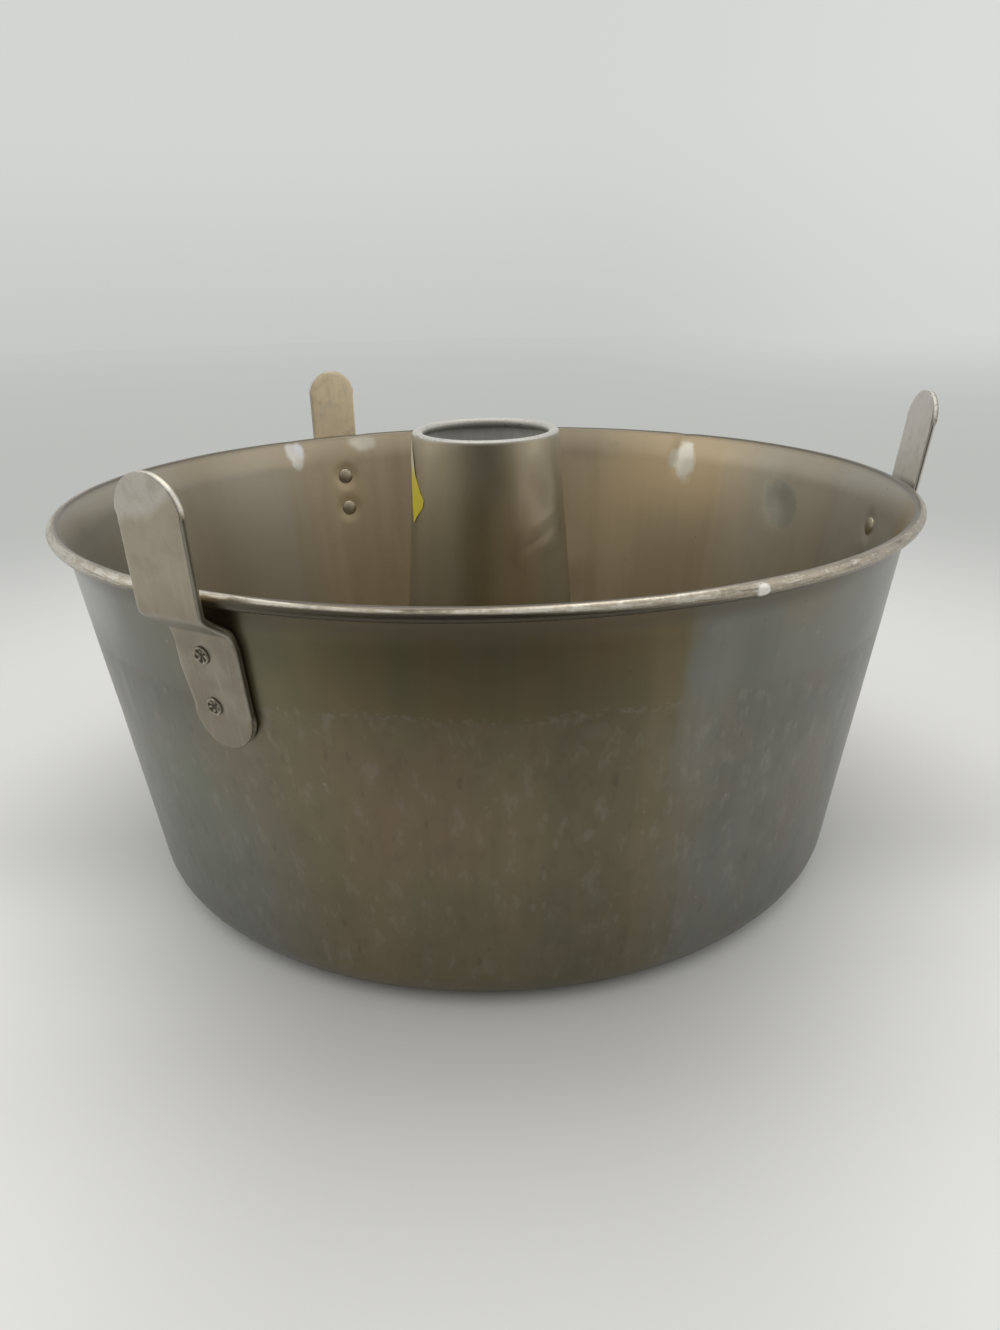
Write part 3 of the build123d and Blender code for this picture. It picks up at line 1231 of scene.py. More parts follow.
PAN_SCUFFS_AND_GLINT: tuple[ScuffAndGlint, ...] = (
    ScuffAndGlint(130.6, 0.1262, 0.1100, 0.0034, 0.0046, (0.60, 0.60, 0.57), 0.75),
    ScuffAndGlint(128.9, 0.1262, 0.1098, 0.0030, 0.0046, (0.66, 0.67, 0.67), 0.85),
    ScuffAndGlint(129.6, 0.1252, 0.1060, 0.0032, 0.0050, (0.60, 0.58, 0.52), 0.75),
    ScuffAndGlint(115.9, 0.1264, 0.1105, 0.0072, 0.0042, (0.60, 0.57, 0.48), 0.65),
    ScuffAndGlint(50.1, 0.1246, 0.1033, 0.0052, 0.0104, (0.68, 0.66, 0.56), 0.90, True, 0.45),
    ScuffAndGlint(52.5, 0.1250, 0.1040, 0.0034, 0.0052, (0.58, 0.56, 0.47), 0.70),
    ScuffAndGlint(26.8, 0.1231, 0.0940, 0.0124, 0.0116, (0.54, 0.52, 0.42), 0.55, True, 0.35),
    ScuffAndGlint(26.6, 0.1231, 0.0938, 0.0098, 0.0094, (0.400, 0.405, 0.345), 0.90, True, 0.35),
    # white spot on the front-right of the bead: a painted highlight
    ScuffAndGlint(297.5, 0.1306, 0.1124, 0.0019, 0.0020, (0.80, 0.78, 0.72), 0.95, False, 0.4))


@dataclass
class OuterPan:
    """Leaning wall with a rolled rim and a ledge, and the legs' places on it."""

    rim_inside_radius: float = 0.127
    rim_height: float = 0.114
    wall_lean: float = 8.0
    sheet: float = 0.0009
    flare_height: float = 0.005
    flare_lean: float = 24.0
    flare_bend: float = 0.030
    bead_radius: float = 0.00175
    bead_turn: float = 270.0
    corner_radius: float = 0.012
    ledge_width: float = 0.010
    rivet_heights: tuple[float, float] = (0.0845, 0.0977)
    dish_radius: float = 0.0062
    dish_depth: float = 0.0004
    true_below: float = 0.004
    true_run: float = 0.02
    front_lobe: Point = (262.0, 26.0)
    far_lobe: Point = (90.0, 70.0)
    left_lobe: Point = (243.0, 9.0)
    right_fade: float = 40.0
    leg_azimuths: tuple[float, ...] = (0.0, 120.0, 240.0)
    finish: DarkenedSheet = DarkenedSheet("darkened_pan_sheet", tone_patches=PAN_TONE_PATCHES, scuffs_and_glint=PAN_SCUFFS_AND_GLINT)
    dents: tuple[Dent, ...] = (
        Dent(130.0, 0.1095, 0.0050, 0.0055, 0.0004),
        Dent(116.0, 0.1110, 0.0045, 0.0050, 0.0003, 25.0),
        Dent(51.5, 0.1080, 0.0040, 0.0110, 0.0005, 10.0),
        Dent(27.0, 0.0935, 0.0085, 0.0100, 0.0004),
        Dent(200.0, 0.0600, 0.0140, 0.0100, -0.0007),
        Dent(305.0, 0.0450, 0.0180, 0.0120, -0.0004, 30.0),
        Dent(75.0, 0.0550, 0.0160, 0.0120, -0.0005),
        Dent(165.0, 0.0900, 0.0120, 0.0090, 0.0006),
    )
    ripple: Ripple = Ripple(seed=11, height=0.00016)

    @property
    def curl_radius(self) -> float:
        """Radius of the bead's middle line."""
        return self.bead_radius - self.sheet / 2

    @property
    def curl_start(self) -> Array:
        """Find where the bead starts.

        Returns:
            Its radius and height.
        """
        out = self.rim_inside_radius + facing(self.flare_lean, self.sheet / 2)[0]
        up = self.rim_height - self.bead_radius - facing(self.flare_lean, self.curl_radius)[1]
        return np.array([out, up])

    @property
    def flare_start(self) -> Array:
        """Radius and height where the mouth starts to flare."""
        return self.curl_start - climb(self.flare_lean, self.flare_height)

    @property
    def wall_foot(self) -> Array:
        """Radius and height where the wall would meet the ledge."""
        return self.flare_start - climb(self.wall_lean, self.flare_start[1] - self.sheet / 2)

    @property
    def corner_bend(self) -> float:
        """Bend radius of the foot's middle line."""
        return self.corner_radius - self.sheet / 2

    @property
    def ledge_radius(self) -> float:
        """Outer radius of the flat ledge."""
        half_turn = math.radians((90 - self.wall_lean) / 2)
        return float(self.wall_foot[0]) - self.corner_bend * math.tan(half_turn)

    @property
    def bead_outer_radius(self) -> float:
        """Largest radius of the rim."""
        return float(self.curl_start[0] + facing(self.flare_lean, self.curl_radius)[0]) + self.bead_radius

    def wall_point(self, height: float, out: float) -> Array:
        """Radius and height of a point on the wall's middle, moved square to the wall."""
        middle = self.flare_start - climb(self.wall_lean, self.flare_start[1] - height)
        return middle + facing(self.wall_lean, out)

    def push(self, azimuth: Array, radius: Array, height: Array) -> Array:
        """How far the sheet is from true: ripples, dents, and dishes round the rivets.

        Args:
            azimuth: Azimuths of the points, in degrees.
            radius: Their radii.
            height: Their heights.

        Returns:
            The move of each point, along the outer normal.
        """
        free = np.clip((height - self.true_below) / self.true_run, 0, 1)
        shift = self.ripple.push(azimuth, radius, height) * free
        for dent in self.dents:
            shift = shift + dent.push(azimuth, radius, height)
        for leg in self.leg_azimuths:
            for rivet in self.rivet_heights:
                around = np.radians(away_from(azimuth, leg)) * radius
                away = np.hypot(around, height - rivet) / self.dish_radius
                shift = shift + dish(away, self.dish_depth)
        return shift

    def build(self) -> None:
        """Spin the sheet."""
        inner_edge = (self.ledge_radius - self.ledge_width, self.sheet / 2)
        roll = Stretch(self.curl_radius * math.radians(self.bead_turn), -1 / self.curl_radius)
        corners = [inner_edge, tuple(self.wall_foot), tuple(self.flare_start), tuple(self.curl_start)]
        profile = Profile(corners, [self.corner_bend, self.flare_bend], roll)
        marked = (profile.station_at(0.077), profile.station_at(0.112), 0.0011)
        stations = profile.stations(0.0026, 11.0, [marked])
        close = [(leg, 4.5, 0.4) for leg in self.leg_azimuths]
        columns = azimuths(1.0, [(38.0, 22.0, 0.55), (123.0, 12.0, 0.55), *close])

        def worn(azimuth: Array, station: Array) -> Array:
            """Rub the bead bright along its top, and further down away from its front; the band is also a
            painted highlight, narrow at the front and moved near the front leg to where light catches the
            bead.

            Args:
                azimuth: Azimuths, in degrees.
                station: Lengths along the section.

            Returns:
                How rubbed and painted bright the sheet is there, from 0 to 1.
            """
            turned = (station - profile.roll_start) / self.curl_radius
            bells = (self.front_lobe, self.far_lobe, self.left_lobe)
            front, far, left = (lobe(azimuth, *bell) for bell in bells)
            middle, half = 2.15 - 0.10 * front - 0.50 * left, 2.0 - 1.68 * front
            aside = np.clip(away_from(azimuth, self.front_lobe[0]) / self.right_fade, 0, 1)
            most = (0.98 - 0.22 * aside) * (1 - 0.75 * far)
            return most * np.clip(1.5 * (1 - np.abs(turned - middle) / half), 0, 1)

        piece = spin("spun_pan", profile, stations, columns, self.sheet, self.push, self.finish, worn)
        settle(piece, Body.PAN, Slot.PAN, "outer_pan")


@dataclass
class Leg:
    """Strap leg with round ends, joggled to pass outside the rim."""

    pan: OuterPan
    place: LegPlace
    width: float = 0.019
    sheet: float = 0.0018
    rise: float = 0.026
    drop: float = 0.040
    bend: float = 0.0026
    joggle_height: float = 0.0048
    joggle_drop: float = 0.0017
    bead_gap: float = 0.0015
    edge_round: float = 0.00045
    cut_round: float = 0.00012
    cut_step: float = 0.00012
    burr_width: float = 0.00060
    taper_from: float = 0.020
    taper_run: float = 0.009
    dish_radius: float = 0.0050
    dish_depth: float = 0.00035
    askew_below: float = 0.1065
    askew_run: float = 0.008
    soil_and_shade_height: float = 0.1045
    soil_and_shade_reach: float = 0.0035
    soil_and_shade_share: float = 0.35
    rings: int = 10
    arc_points: int = 22

    def profile(self) -> Profile:
        """Lay out the middle line of the strap, in the plane through the axis.

        Returns:
            The line.
        """
        pan = self.pan
        seat_out = pan.sheet / 2 + self.sheet / 2
        joggle_top = pan.rim_height - 2 * pan.bead_radius - self.joggle_drop
        step_top = np.array([pan.bead_outer_radius + self.bead_gap + self.sheet / 2, joggle_top])
        corners = [
            pan.wall_point(pan.rim_height - self.drop, seat_out),
            pan.wall_point(joggle_top - self.joggle_height, seat_out),
            step_top,
            step_top + climb(self.place.lean, pan.rim_height + self.rise - joggle_top),
        ]
        return Profile([tuple(corner) for corner in corners], [self.bend, self.bend])

    def outline(self, profile: Profile) -> tuple[Array, Array, Array]:
        """Points round the strap's edge.

        Args:
            profile: Middle line of the strap.

        Returns:
            Distance across of each point for a ring of radius 1, station of the ring's
            centre there, and station gained for a ring of radius 1; and how much the point
            belongs to a cut end, as a fourth column of the third array.
        """
        radius = self.width / 2
        stations = profile.stations(0.0012, 9.0)
        straight = stations[(stations > radius + 4e-4) & (stations < profile.length - radius - 4e-4)]
        straight = np.concatenate([[radius], straight, [profile.length - radius]])
        swing = np.linspace(0.0, math.pi, self.arc_points + 2)[1:-1]
        ones = np.ones(len(straight))
        across = np.concatenate([ones, np.cos(swing), -ones, -np.cos(swing)])
        centre = np.concatenate([straight, np.full(len(swing), straight[-1]), straight[::-1],
                                 np.full(len(swing), straight[0])])
        gain = np.concatenate([0 * ones, np.sin(swing), 0 * ones, -np.sin(swing)])
        cut = np.concatenate([0 * ones, np.ones(len(swing)), 0 * ones, np.ones(len(swing))])
        return across, centre, np.stack([gain, cut], 1)

    def build(self) -> None:
        """Bend the strap and set it against the wall."""
        profile = self.profile()
        across, centre, ends = self.outline(profile)
        gain, cut = ends[:, 0], ends[:, 1]
        reach = self.width / 2 + self.cut_step * (2 * cut - 1)
        soft = np.where(cut > 0, self.cut_round, self.edge_round)
        half = self.sheet / 2
        rings: list[tuple[Array, Array, float, float, float]] = []
        for step in range(1, self.rings):
            level = np.full(len(across), half)
            rings.append(((reach - self.edge_round) * step / self.rings, level, 0.0, 0.0, 0.0))
        for swing, corner, edge, burr in ((0.0, 0.2, 0.0, 0.0), (22.5, 0.9, 0.1, 0.4), (45.0, 1.0, 0.3, 1.0),
                                          (67.5, 0.5, 0.8, 1.0), (90.0, 0.0, 1.0, 1.0)):
            turn = math.radians(swing)
            level = half - soft * (1 - math.cos(turn))
            rings.append((reach - soft * (1 - math.sin(turn)), level, corner, edge, burr))
        rings.append((reach, half - soft - self.burr_width, 0.0, 1.0, 0.0))
        backs = [(ring, -level, corner, edge, burr) for ring, level, corner, edge, burr in reversed(rings)]
        grid_ring = np.stack([ring for ring, *_ in rings + backs])
        grid_level = np.stack([level for _, level, *_ in rings + backs])
        grid_corner, grid_side, grid_burr = (np.array([row[column] for row in rings + backs])[:, None]
                                             for column in (2, 3, 4))
        side = across[None, :] * grid_ring
        station = centre[None, :] + gain[None, :] * grid_ring
        points, soil_and_shade = self.bent(profile, side, station, grid_level)
        count, around = len(rings + backs), len(across)
        faces = [tuple(face) for face in self.sleeve(count, around)]
        faces += self.cap(0, len(across)) + self.cap((count - 1) * around, len(across))
        inner = np.array([0.0] * len(rings) + [1.0] * len(backs))[:, None]
        columns = {"cut": cut[None, :], "side": grid_side, "corner": grid_corner, "burr": grid_burr,
                   "inner": inner}
        attributes = {label: np.broadcast_to(values, side.shape) for label, values in columns.items()}
        attributes["soil_and_shade"] = soil_and_shade
        name = "strap_" + self.place.name
        piece = make_piece(name, points.reshape(-1, 3), faces, self.place.finish, attributes)
        settle(piece, Body.PAN, Slot.LEG, "leg_" + self.place.name)

    @staticmethod
    def sleeve(count: int, around: int) -> Array:
        """Quads between rings, each of which closes on itself.

        Args:
            count: How many rings there are.
            around: Points in each.

        Returns:
            One row of four points for each quad.
        """
        ring = np.arange(count - 1)[:, None]
        point = np.arange(around)[None, :]
        after = (point + 1) % around
        corners = [ring * around + point, ring * around + after, (ring + 1) * around + after,
                   (ring + 1) * around + point]
        spread = [np.broadcast_to(corner, (count - 1, around)) for corner in corners]
        return np.stack(spread, -1).reshape(-1, 4)

    def cap(self, first: int, around: int) -> list[tuple[int, ...]]:
        """Faces inside the innermost ring: a ladder between its sides and a half disc at each end.

        Args:
            first: The ring's first point.
            around: Points in the ring.

        Returns:
            The points of each face.
        """
        side = around // 2 - self.arc_points
        right = list(range(first, first + side))
        top = list(range(first + side, first + side + self.arc_points))
        left = list(range(first + side + self.arc_points, first + 2 * side + self.arc_points))
        bottom = list(range(first + 2 * side + self.arc_points, first + around))
        paired = left[::-1]
        ladder = [(right[i], right[i + 1], paired[i + 1], paired[i]) for i in range(side - 1)]
        return ladder + [tuple([right[-1], *top, left[0]]), tuple([left[-1], *bottom, right[0]])]

    def bent(self, profile: Profile, side: Array, station: Array, level: Array) -> tuple[Array, Array]:
        """Lay flat points on the bent strap.

        Args:
            profile: Middle line of the strap.
            side: Distance from the middle line across the strap.
            station: Length along it.
            level: Distance from the middle of the sheet.

        Returns:
            The points, and how soiled and shaded the strap is painted there.
        """
        rivets = [profile.station_at(height) for height in self.pan.rivet_heights]
        pivot = sum(rivets) / 2
        swing = math.radians(self.place.skew)
        lower = np.clip((profile.station_at(self.askew_below) - station) / self.askew_run, 0, 1)
        narrow = self.place.taper * np.clip((self.taper_from - station) / self.taper_run, 0, 1)
        side = np.where(side < 0, side * (1 - narrow), side)
        side = side + (self.place.shift - (station - pivot) * math.tan(swing)) * lower
        # grime with painted shade below the joggle's bend, and round the rivets in their dishes
        from_bend = np.abs(station - profile.station_at(self.soil_and_shade_height)) / self.soil_and_shade_reach
        soil_and_shade = np.clip(1 - from_bend, 0, 1) * self.soil_and_shade_share
        shift = np.zeros(side.shape)
        for rivet in rivets:
            away = np.hypot(side, station - rivet) / self.dish_radius
            shift = shift - dish(away, self.dish_depth)
            soil_and_shade = np.maximum(soil_and_shade, np.clip(1.2 - away * 2.0, 0, 1))
        middle, normal = profile.sample(np.clip(station.ravel(), 0, profile.length))
        middle = middle.reshape(*side.shape, 2)
        normal = normal.reshape(*side.shape, 2)
        out = middle + normal * (level + shift)[..., None]
        return about_axis(out[..., 0], side, out[..., 1], self.place.azimuth), soil_and_shade


@dataclass
class Rivet:
    """Semi-tubular rivet: a dome inside the pan, and its end split and rolled over outside."""

    pan: OuterPan
    leg: Leg
    height: float
    name: str
    seed: int
    head_radius: float = 0.0030
    head_height: float = 0.00095
    shank_radius: float = 0.0015
    ring_outline: tuple[tuple[float, float, float, float], ...] = (
        (0.00262, 0.00000, 0.0, 0.9), (0.00245, 0.00006, 0.0, 1.0), (0.00225, 0.00008, 0.0, 1.0),
        (0.00224, 0.00028, 0.1, 0.8), (0.00216, 0.00050, 0.2, 0.5), (0.00202, 0.00060, 0.3, 0.4),
        (0.00188, 0.00058, 0.5, 0.4), (0.00174, 0.00046, 0.8, 0.6), (0.00160, 0.00032, 1.0, 0.9),
        (0.00140, 0.00028, 1.0, 0.8), (0.00112, 0.00026, 1.0, 0.7), (0.00084, 0.00020, 0.9, 0.8),
        (0.00052, 0.00014, 0.6, 0.9), (0.00022, 0.00012, 0.2, 1.0))
    columns: int = 72
    lumps: int = 7
    lump_height: float = 0.00014
    lump_share: float = 0.45
    petals: int = 6
    petal_share: float = 0.22
    relief: float = 2.2
    out_of_round: float = 0.012
    finish: RivetMetal = RivetMetal("dull_rivet_metal")

    def section(self) -> Array:
        """Outline from the dome's middle to the hollow's.

        Returns:
            One row for each point: radius, reach from the strap's face, how much the lumps of
            the rolled end move it, how dirty and shaded it is painted, and whether it is on the dome.
        """
        sag = self.leg.sheet + self.pan.sheet - 0.6 * self.pan.dish_depth
        rows = []
        for swing in np.radians(np.linspace(4, 90, 9)):
            reach = -sag - math.cos(swing) * self.head_height
            rows.append((math.sin(swing) * self.head_radius, reach, 0.0, 0.25 if swing > 1.4 else 0.0, 1.0))
        rows.append((self.shank_radius, -sag + 0.0002, 0.0, 1.0, 1.0))
        rows.append((self.shank_radius, -self.leg.dish_depth - 0.0002, 0.0, 1.0, 0.0))
        rows += [(radius, reach - self.leg.dish_depth, lump, soil_and_shade, 0.0)
                 for radius, reach, lump, soil_and_shade in self.ring_outline]
        return np.array(rows)

    def build(self) -> None:
        """Shape the rivet and seat it square to the wall."""
        radius, reach, lump, soil_and_shade, inner = self.section().T
        draw = np.random.default_rng(self.seed)
        turn = np.linspace(0, math.tau, self.columns, endpoint=False)[:, None]
        uneven = np.zeros((self.columns, len(radius)))
        for waves in range(2, self.lumps + 3):
            phase, twist = draw.uniform(0, math.tau), draw.uniform(-2.5, 2.5)
            uneven = uneven + np.cos(turn * waves + phase + twist * radius[None, :] / 0.001) / self.lumps
        star = np.cos(turn * self.petals + draw.uniform(0, math.tau))
        uneven = uneven * self.lump_share + star * self.petal_share
        waviness = sum(np.cos(turn * waves + draw.uniform(0, math.tau)) for waves in (1, 2, 3))
        spread = waviness * self.out_of_round
        across = radius[None, :] * (1 + spread * (1 - inner[None, :]))
        level = reach[None, :] + uneven * self.relief * self.lump_height * lump[None, :]
        # dirt with painted shade, darker in the folds between the lumps
        dirt_and_shade = np.clip(soil_and_shade[None, :] * 0.8 - uneven * 0.8 * lump[None, :], 0, 1)
        turn = turn[:, 0]
        side, up = across * np.cos(turn)[:, None], across * np.sin(turn)[:, None]
        seat = self.pan.wall_point(self.height, self.pan.sheet / 2 + self.leg.sheet)
        out, along = facing(self.pan.wall_lean, 1.0), lean(self.pan.wall_lean, 1.0)
        distance = seat[0] + level * out[0] + up * along[0]
        height = seat[1] + level * out[1] + up * along[1]
        rows = len(radius)
        faces = [tuple(face) for face in ring_faces(self.columns, rows, False)]
        faces.append(tuple(range(0, self.columns * rows, rows)))
        faces.append(tuple(range(rows - 1, self.columns * rows, rows)))
        points = about_axis(distance, side, height, self.leg.place.azimuth).reshape(-1, 3)
        attributes = {"soil_and_shade": dirt_and_shade, "inner": np.broadcast_to(inner, dirt_and_shade.shape)}
        piece = make_piece(self.name + "_formed", points, faces, self.finish, attributes, 60.0)
        settle(piece, Body.PAN, Slot.RIVET, self.name)


# The loose bottom and its tube


@dataclass
class LooseBottom:
    """Bottom plate that lies on the pan's ledge, with a raised middle."""

    pan: OuterPan
    sheet: float = 0.0009
    clearance: float = 0.0005
    raised_radius: float = 0.046
    raised_height: float = 0.0026
    raised_lean: float = 45.0
    raised_bend: float = 0.003
    true_outside: float = 0.094
    edge_run: float = 0.012
    true_inside: float = 0.040
    seam_run: float = 0.01
    finish: DarkenedSheet = DarkenedSheet(
        "darkened_plate_sheet", outer_brown=(0.34, 0.30, 0.22), outer_olive=(0.30, 0.27, 0.19),
        inner_tan=(0.41, 0.355, 0.25), inner_brown=(0.375, 0.322, 0.225), tide_height=-0.1, bands=0.25)
    ripple: Ripple = Ripple(seed=5, height=0.00010)

    @property
    def level(self) -> float:
        """Height of the plate's middle where it lies on the ledge."""
        return self.pan.sheet + self.sheet / 2

    @property
    def raised_level(self) -> float:
        """Height of the raised middle."""
        return self.level + self.raised_height

    def push(self, azimuth: Array, radius: Array, height: Array) -> Array:
        """How far the plate is from flat, nothing at its edge and its seam.

        Args:
            azimuth: Azimuths of the points, in degrees.
            radius: Their radii.
            height: Their heights, not used.

        Returns:
            The move of each point, along the outer normal.
        """
        in_edge = np.clip((self.true_outside - radius) / self.edge_run, 0, 1)
        off_seam = np.clip((radius - self.true_inside) / self.seam_run, 0, 1)
        return self.ripple.push(azimuth, radius, radius * 2) * (in_edge * off_seam)

    def build(self, seam_radius: float) -> None:
        """Spin the plate.

        Args:
            seam_radius: Radius of its hole, where the tube is seamed in.
        """
        foot = self.raised_radius + self.raised_height * math.tan(math.radians(self.raised_lean))
        corners = [(seam_radius, self.raised_level), (self.raised_radius, self.raised_level),
                   (foot, self.level), (self.pan.ledge_radius - self.clearance, self.level)]
        profile = Profile(corners, [self.raised_bend, self.raised_bend])

        def worn(azimuth: Array, station: Array) -> Array:
            """The plate's edge is rubbed by the ledge."""
            return np.clip((station - profile.length + 0.002) / 0.002, 0, 1) * 0.5 * np.ones_like(azimuth)

        piece = spin("pressed_bottom", profile, profile.stations(0.003, 9.0), azimuths(2.0), self.sheet,
                     self.push, self.finish, worn)
        settle(piece, Body.INSERT, Slot.PLATE, "base_plate")


@dataclass(frozen=True)
class Crease:
    """Narrow line pressed into a sheet from one place to another."""

    start: Point
    end: Point
    half_width: float
    depth: float

    def push(self, azimuth: Array, radius: Array, height: Array) -> Array:
        """How far it moves each point of the sheet outwards.

        Args:
            azimuth: Azimuths of the points, in degrees.
            radius: Their radii.
            height: Their heights.

        Returns:
            The move of each point, along the outer normal.
        """
        first = np.array([0.0, self.start[1]])
        last_around = math.radians(self.end[0] - self.start[0])
        around = np.radians(away_from(azimuth, self.start[0])) * radius
        run = np.array([last_around * float(np.mean(radius)), self.end[1] - self.start[1]])
        length = float(np.hypot(*run))
        way = run / length
        up = height - first[1]
        along = np.clip((around * way[0] + up * way[1]) / length, 0, 1)
        off = np.hypot(around - along * run[0], up - along * run[1])
        fade = np.sin(np.pi * np.clip(along, 0.02, 0.98)) ** 0.5
        return self.depth * fade * np.exp(-((off / self.half_width) ** 2))


# Painted reflections on the tube: a darker middle facing the front, and lighter sides.
TUBE_PAINTED_REFLECTIONS: tuple[TonePatch, ...] = (
    TonePatch(262.0, 13.0, -0.01, 0.114, (0.215, 0.187, 0.118), 0.80, 9.0),
    TonePatch(266.0, 16.0, 0.114, 0.140, (0.280, 0.258, 0.195), 0.75, 9.0, fade=0.012),
    TonePatch(312.0, 17.0, 0.098, 0.127, (0.540, 0.475, 0.360), 0.72, 7.0, fade=0.012),
    TonePatch(320.0, 24.0, -0.01, 0.096, (0.420, 0.375, 0.270), 0.60, 8.0),
    TonePatch(208.0, 18.0, 0.080, 0.140, (0.420, 0.355, 0.245), 0.70, 9.0))


@dataclass
class CentreTube:
    """Tapered tube with a curled mouth, its foot flanged under the plate."""

    bottom: LooseBottom
    height: float = 0.132
    mouth_radius: float = 0.0231
    lean: float = 3.9
    sheet: float = 0.0008
    bead_radius: float = 0.0017
    bead_turn: float = 270.0
    flange_width: float = 0.005
    foot_bend: float = 0.001
    seam_clearance: float = 0.0001
    finish: DarkenedSheet = DarkenedSheet(
        "darkened_tube_sheet", outer_brown=(0.335, 0.285, 0.190), outer_olive=(0.32, 0.280, 0.192),
        inner_tan=(0.57, 0.56, 0.52), inner_brown=(0.52, 0.51, 0.47), roll_film=(0.33, 0.32, 0.28),
        roll_rubbed=(0.41, 0.40, 0.36), bright=(0.50, 0.49, 0.45), tide_height=-0.1,
        shade_and_grime_height=(0.20, 0.21), inner_metal=0.0, roll_metal=0.3, worn_rough=0.50, bands=0.5,
        wander=18.0, marks=0.4, tone_patches=TUBE_PAINTED_REFLECTIONS)
    ripple: Ripple = Ripple(seed=3, height=0.00016, longest=2, shortest=7)
    dents: tuple[Dent, ...] = (
        Dent(312.0, 0.1120, 0.0060, 0.0120, -0.0003, 12.0),
        Dent(318.0, 0.0980, 0.0060, 0.0040, 0.00016, 35.0),
        Dent(286.0, 0.0900, 0.0050, 0.0100, -0.0002),
        Dent(150.0, 0.0900, 0.0080, 0.0100, -0.0005),
    )
    true_below: float = 0.006
    foot_run: float = 0.02
    true_from: float = 0.1295
    true_run: float = 0.004
    press_from: float = 0.1286
    pressed_share: float = 0.23
    front_share: float = 0.17
    creases: tuple[Crease, ...] = (
        Crease((290.0, 0.0970), (326.0, 0.1035), 0.0012, -0.00008),
        Crease((300.0, 0.1035), (336.0, 0.1090), 0.0013, 0.00006),
        Crease((303.5, 0.1280), (300.0, 0.1100), 0.0011, 0.00007),
        Crease((330.0, 0.1240), (318.0, 0.1060), 0.0012, -0.00006),
    )

    @property
    def curl_radius(self) -> float:
        """Radius of the mouth bead's middle line."""
        return self.bead_radius - self.sheet / 2

    @property
    def curl_start(self) -> Array:
        """Radius and height where the mouth bead starts."""
        centre = np.array([self.mouth_radius - self.bead_radius, self.height - self.bead_radius])
        return centre + facing(-self.lean, self.curl_radius)

    @property
    def foot(self) -> Array:
        """Radius and height where the cone would meet the flange."""
        level = self.bottom.raised_level - self.bottom.sheet / 2 - self.sheet / 2
        return self.curl_start - climb(-self.lean, self.curl_start[1] - level)

    @property
    def outside(self) -> float:
        """Outer radius of the cone at its foot."""
        return float(self.foot[0] + facing(self.lean, self.sheet / 2)[0])

    @property
    def seam_radius(self) -> float:
        """Radius of the plate's hole round the tube."""
        return self.outside + self.foot_bend + self.seam_clearance

    def push(self, azimuth: Array, radius: Array, height: Array) -> Array:
        """How far the tube is from true.

        Args:
            azimuth: Azimuths of the points, in degrees.
            radius: Their radii.
            height: Their heights.

        Returns:
            The move of each point, along the outer normal.
        """
        off_seam = np.clip((height - self.true_below) / self.foot_run, 0, 1)
        free = off_seam * np.clip((self.true_from - height) / self.true_run, 0, 1)
        shift = self.ripple.push(azimuth, radius, height)
        for mark in (*self.dents, *self.creases):
            shift = shift + mark.push(azimuth, radius, height)
        return shift * free

    def build(self) -> None:
        """Spin the tube."""
        roll = Stretch(self.curl_radius * math.radians(self.bead_turn), 1 / self.curl_radius)
        corners = [(self.outside + self.foot_bend + self.flange_width, float(self.foot[1])),
                   tuple(self.foot), tuple(self.curl_start)]
        profile = Profile(corners, [self.foot_bend], roll)
        creased = (profile.station_at(0.088), profile.station_at(0.120), 0.0008)
        stations = profile.stations(0.0022, 12.0, [creased])
        columns = azimuths(2.5, [(310.0, 30.0, 1.2)])

        def worn(azimuth: Array, station: Array) -> Array:
            """The mouth's bead is rubbed bright over its top."""
            turned = (station - profile.roll_start) / self.curl_radius
            return np.clip(1.7 * (1 - np.abs(turned - 1.6) / 2.2), 0, 0.9) * np.ones_like(azimuth)

        piece = spin("rolled_tube", profile, stations, columns, self.sheet, self.push, self.finish, worn)
        self.press(piece)
        settle(piece, Body.INSERT, Slot.TUBE, "centre_tube")

    def press(self, piece: bpy.types.Object) -> None:
        """Press the mouth's bead down a little, most at its front.

        Args:
            piece: The spun tube.
        """
        for vertex in piece.data.vertices:
            above = vertex.co.z - self.press_from
            if above > 0:
                front = -vertex.co.y / math.hypot(vertex.co.x, vertex.co.y)
                vertex.co.z -= above * (self.pressed_share + self.front_share * front)


@dataclass
class LabelScrap:
    """Scrap of a torn label that still sticks to the tube."""

    tube: CentreTube
    left: float = 193.0
    outline: tuple[Point, ...] = (
        (0.0, 0.1285), (4.0, 0.1255), (12.0, 0.1190), (21.0, 0.1140), (26.0, 0.1120), (24.5, 0.1095),
        (17.0, 0.1065), (11.5, 0.1040), (9.0, 0.1080), (5.0, 0.1160), (1.0, 0.1235))
    paper: float = 0.00012
    glue: float = 0.00005
    clear: float = 0.00015
    finish: LabelPaper = LabelPaper("yellow_label_paper")

    def build(self) -> None:
        """Lay the scrap on the tube."""
        layers = []
        mouth, top = self.tube.curl_start
        slope = math.tan(math.radians(self.tube.lean))
        for out in (self.glue, self.glue + self.paper):
            for swing, height in self.outline:
                radius = mouth + (top - height) * slope + self.tube.sheet / 2 + self.clear + out
                turn = math.radians(self.left + swing)
                layers.append((radius * math.cos(turn), radius * math.sin(turn), height))
        count = len(self.outline)
        faces = [tuple(range(count)), tuple(range(count, 2 * count))]
        faces += [(i, (i + 1) % count, count + (i + 1) % count, count + i) for i in range(count)]
        piece = make_piece("yellow_scrap", np.array(layers), faces, self.finish)
        settle(piece, Body.INSERT, Slot.TUBE)


# Studio


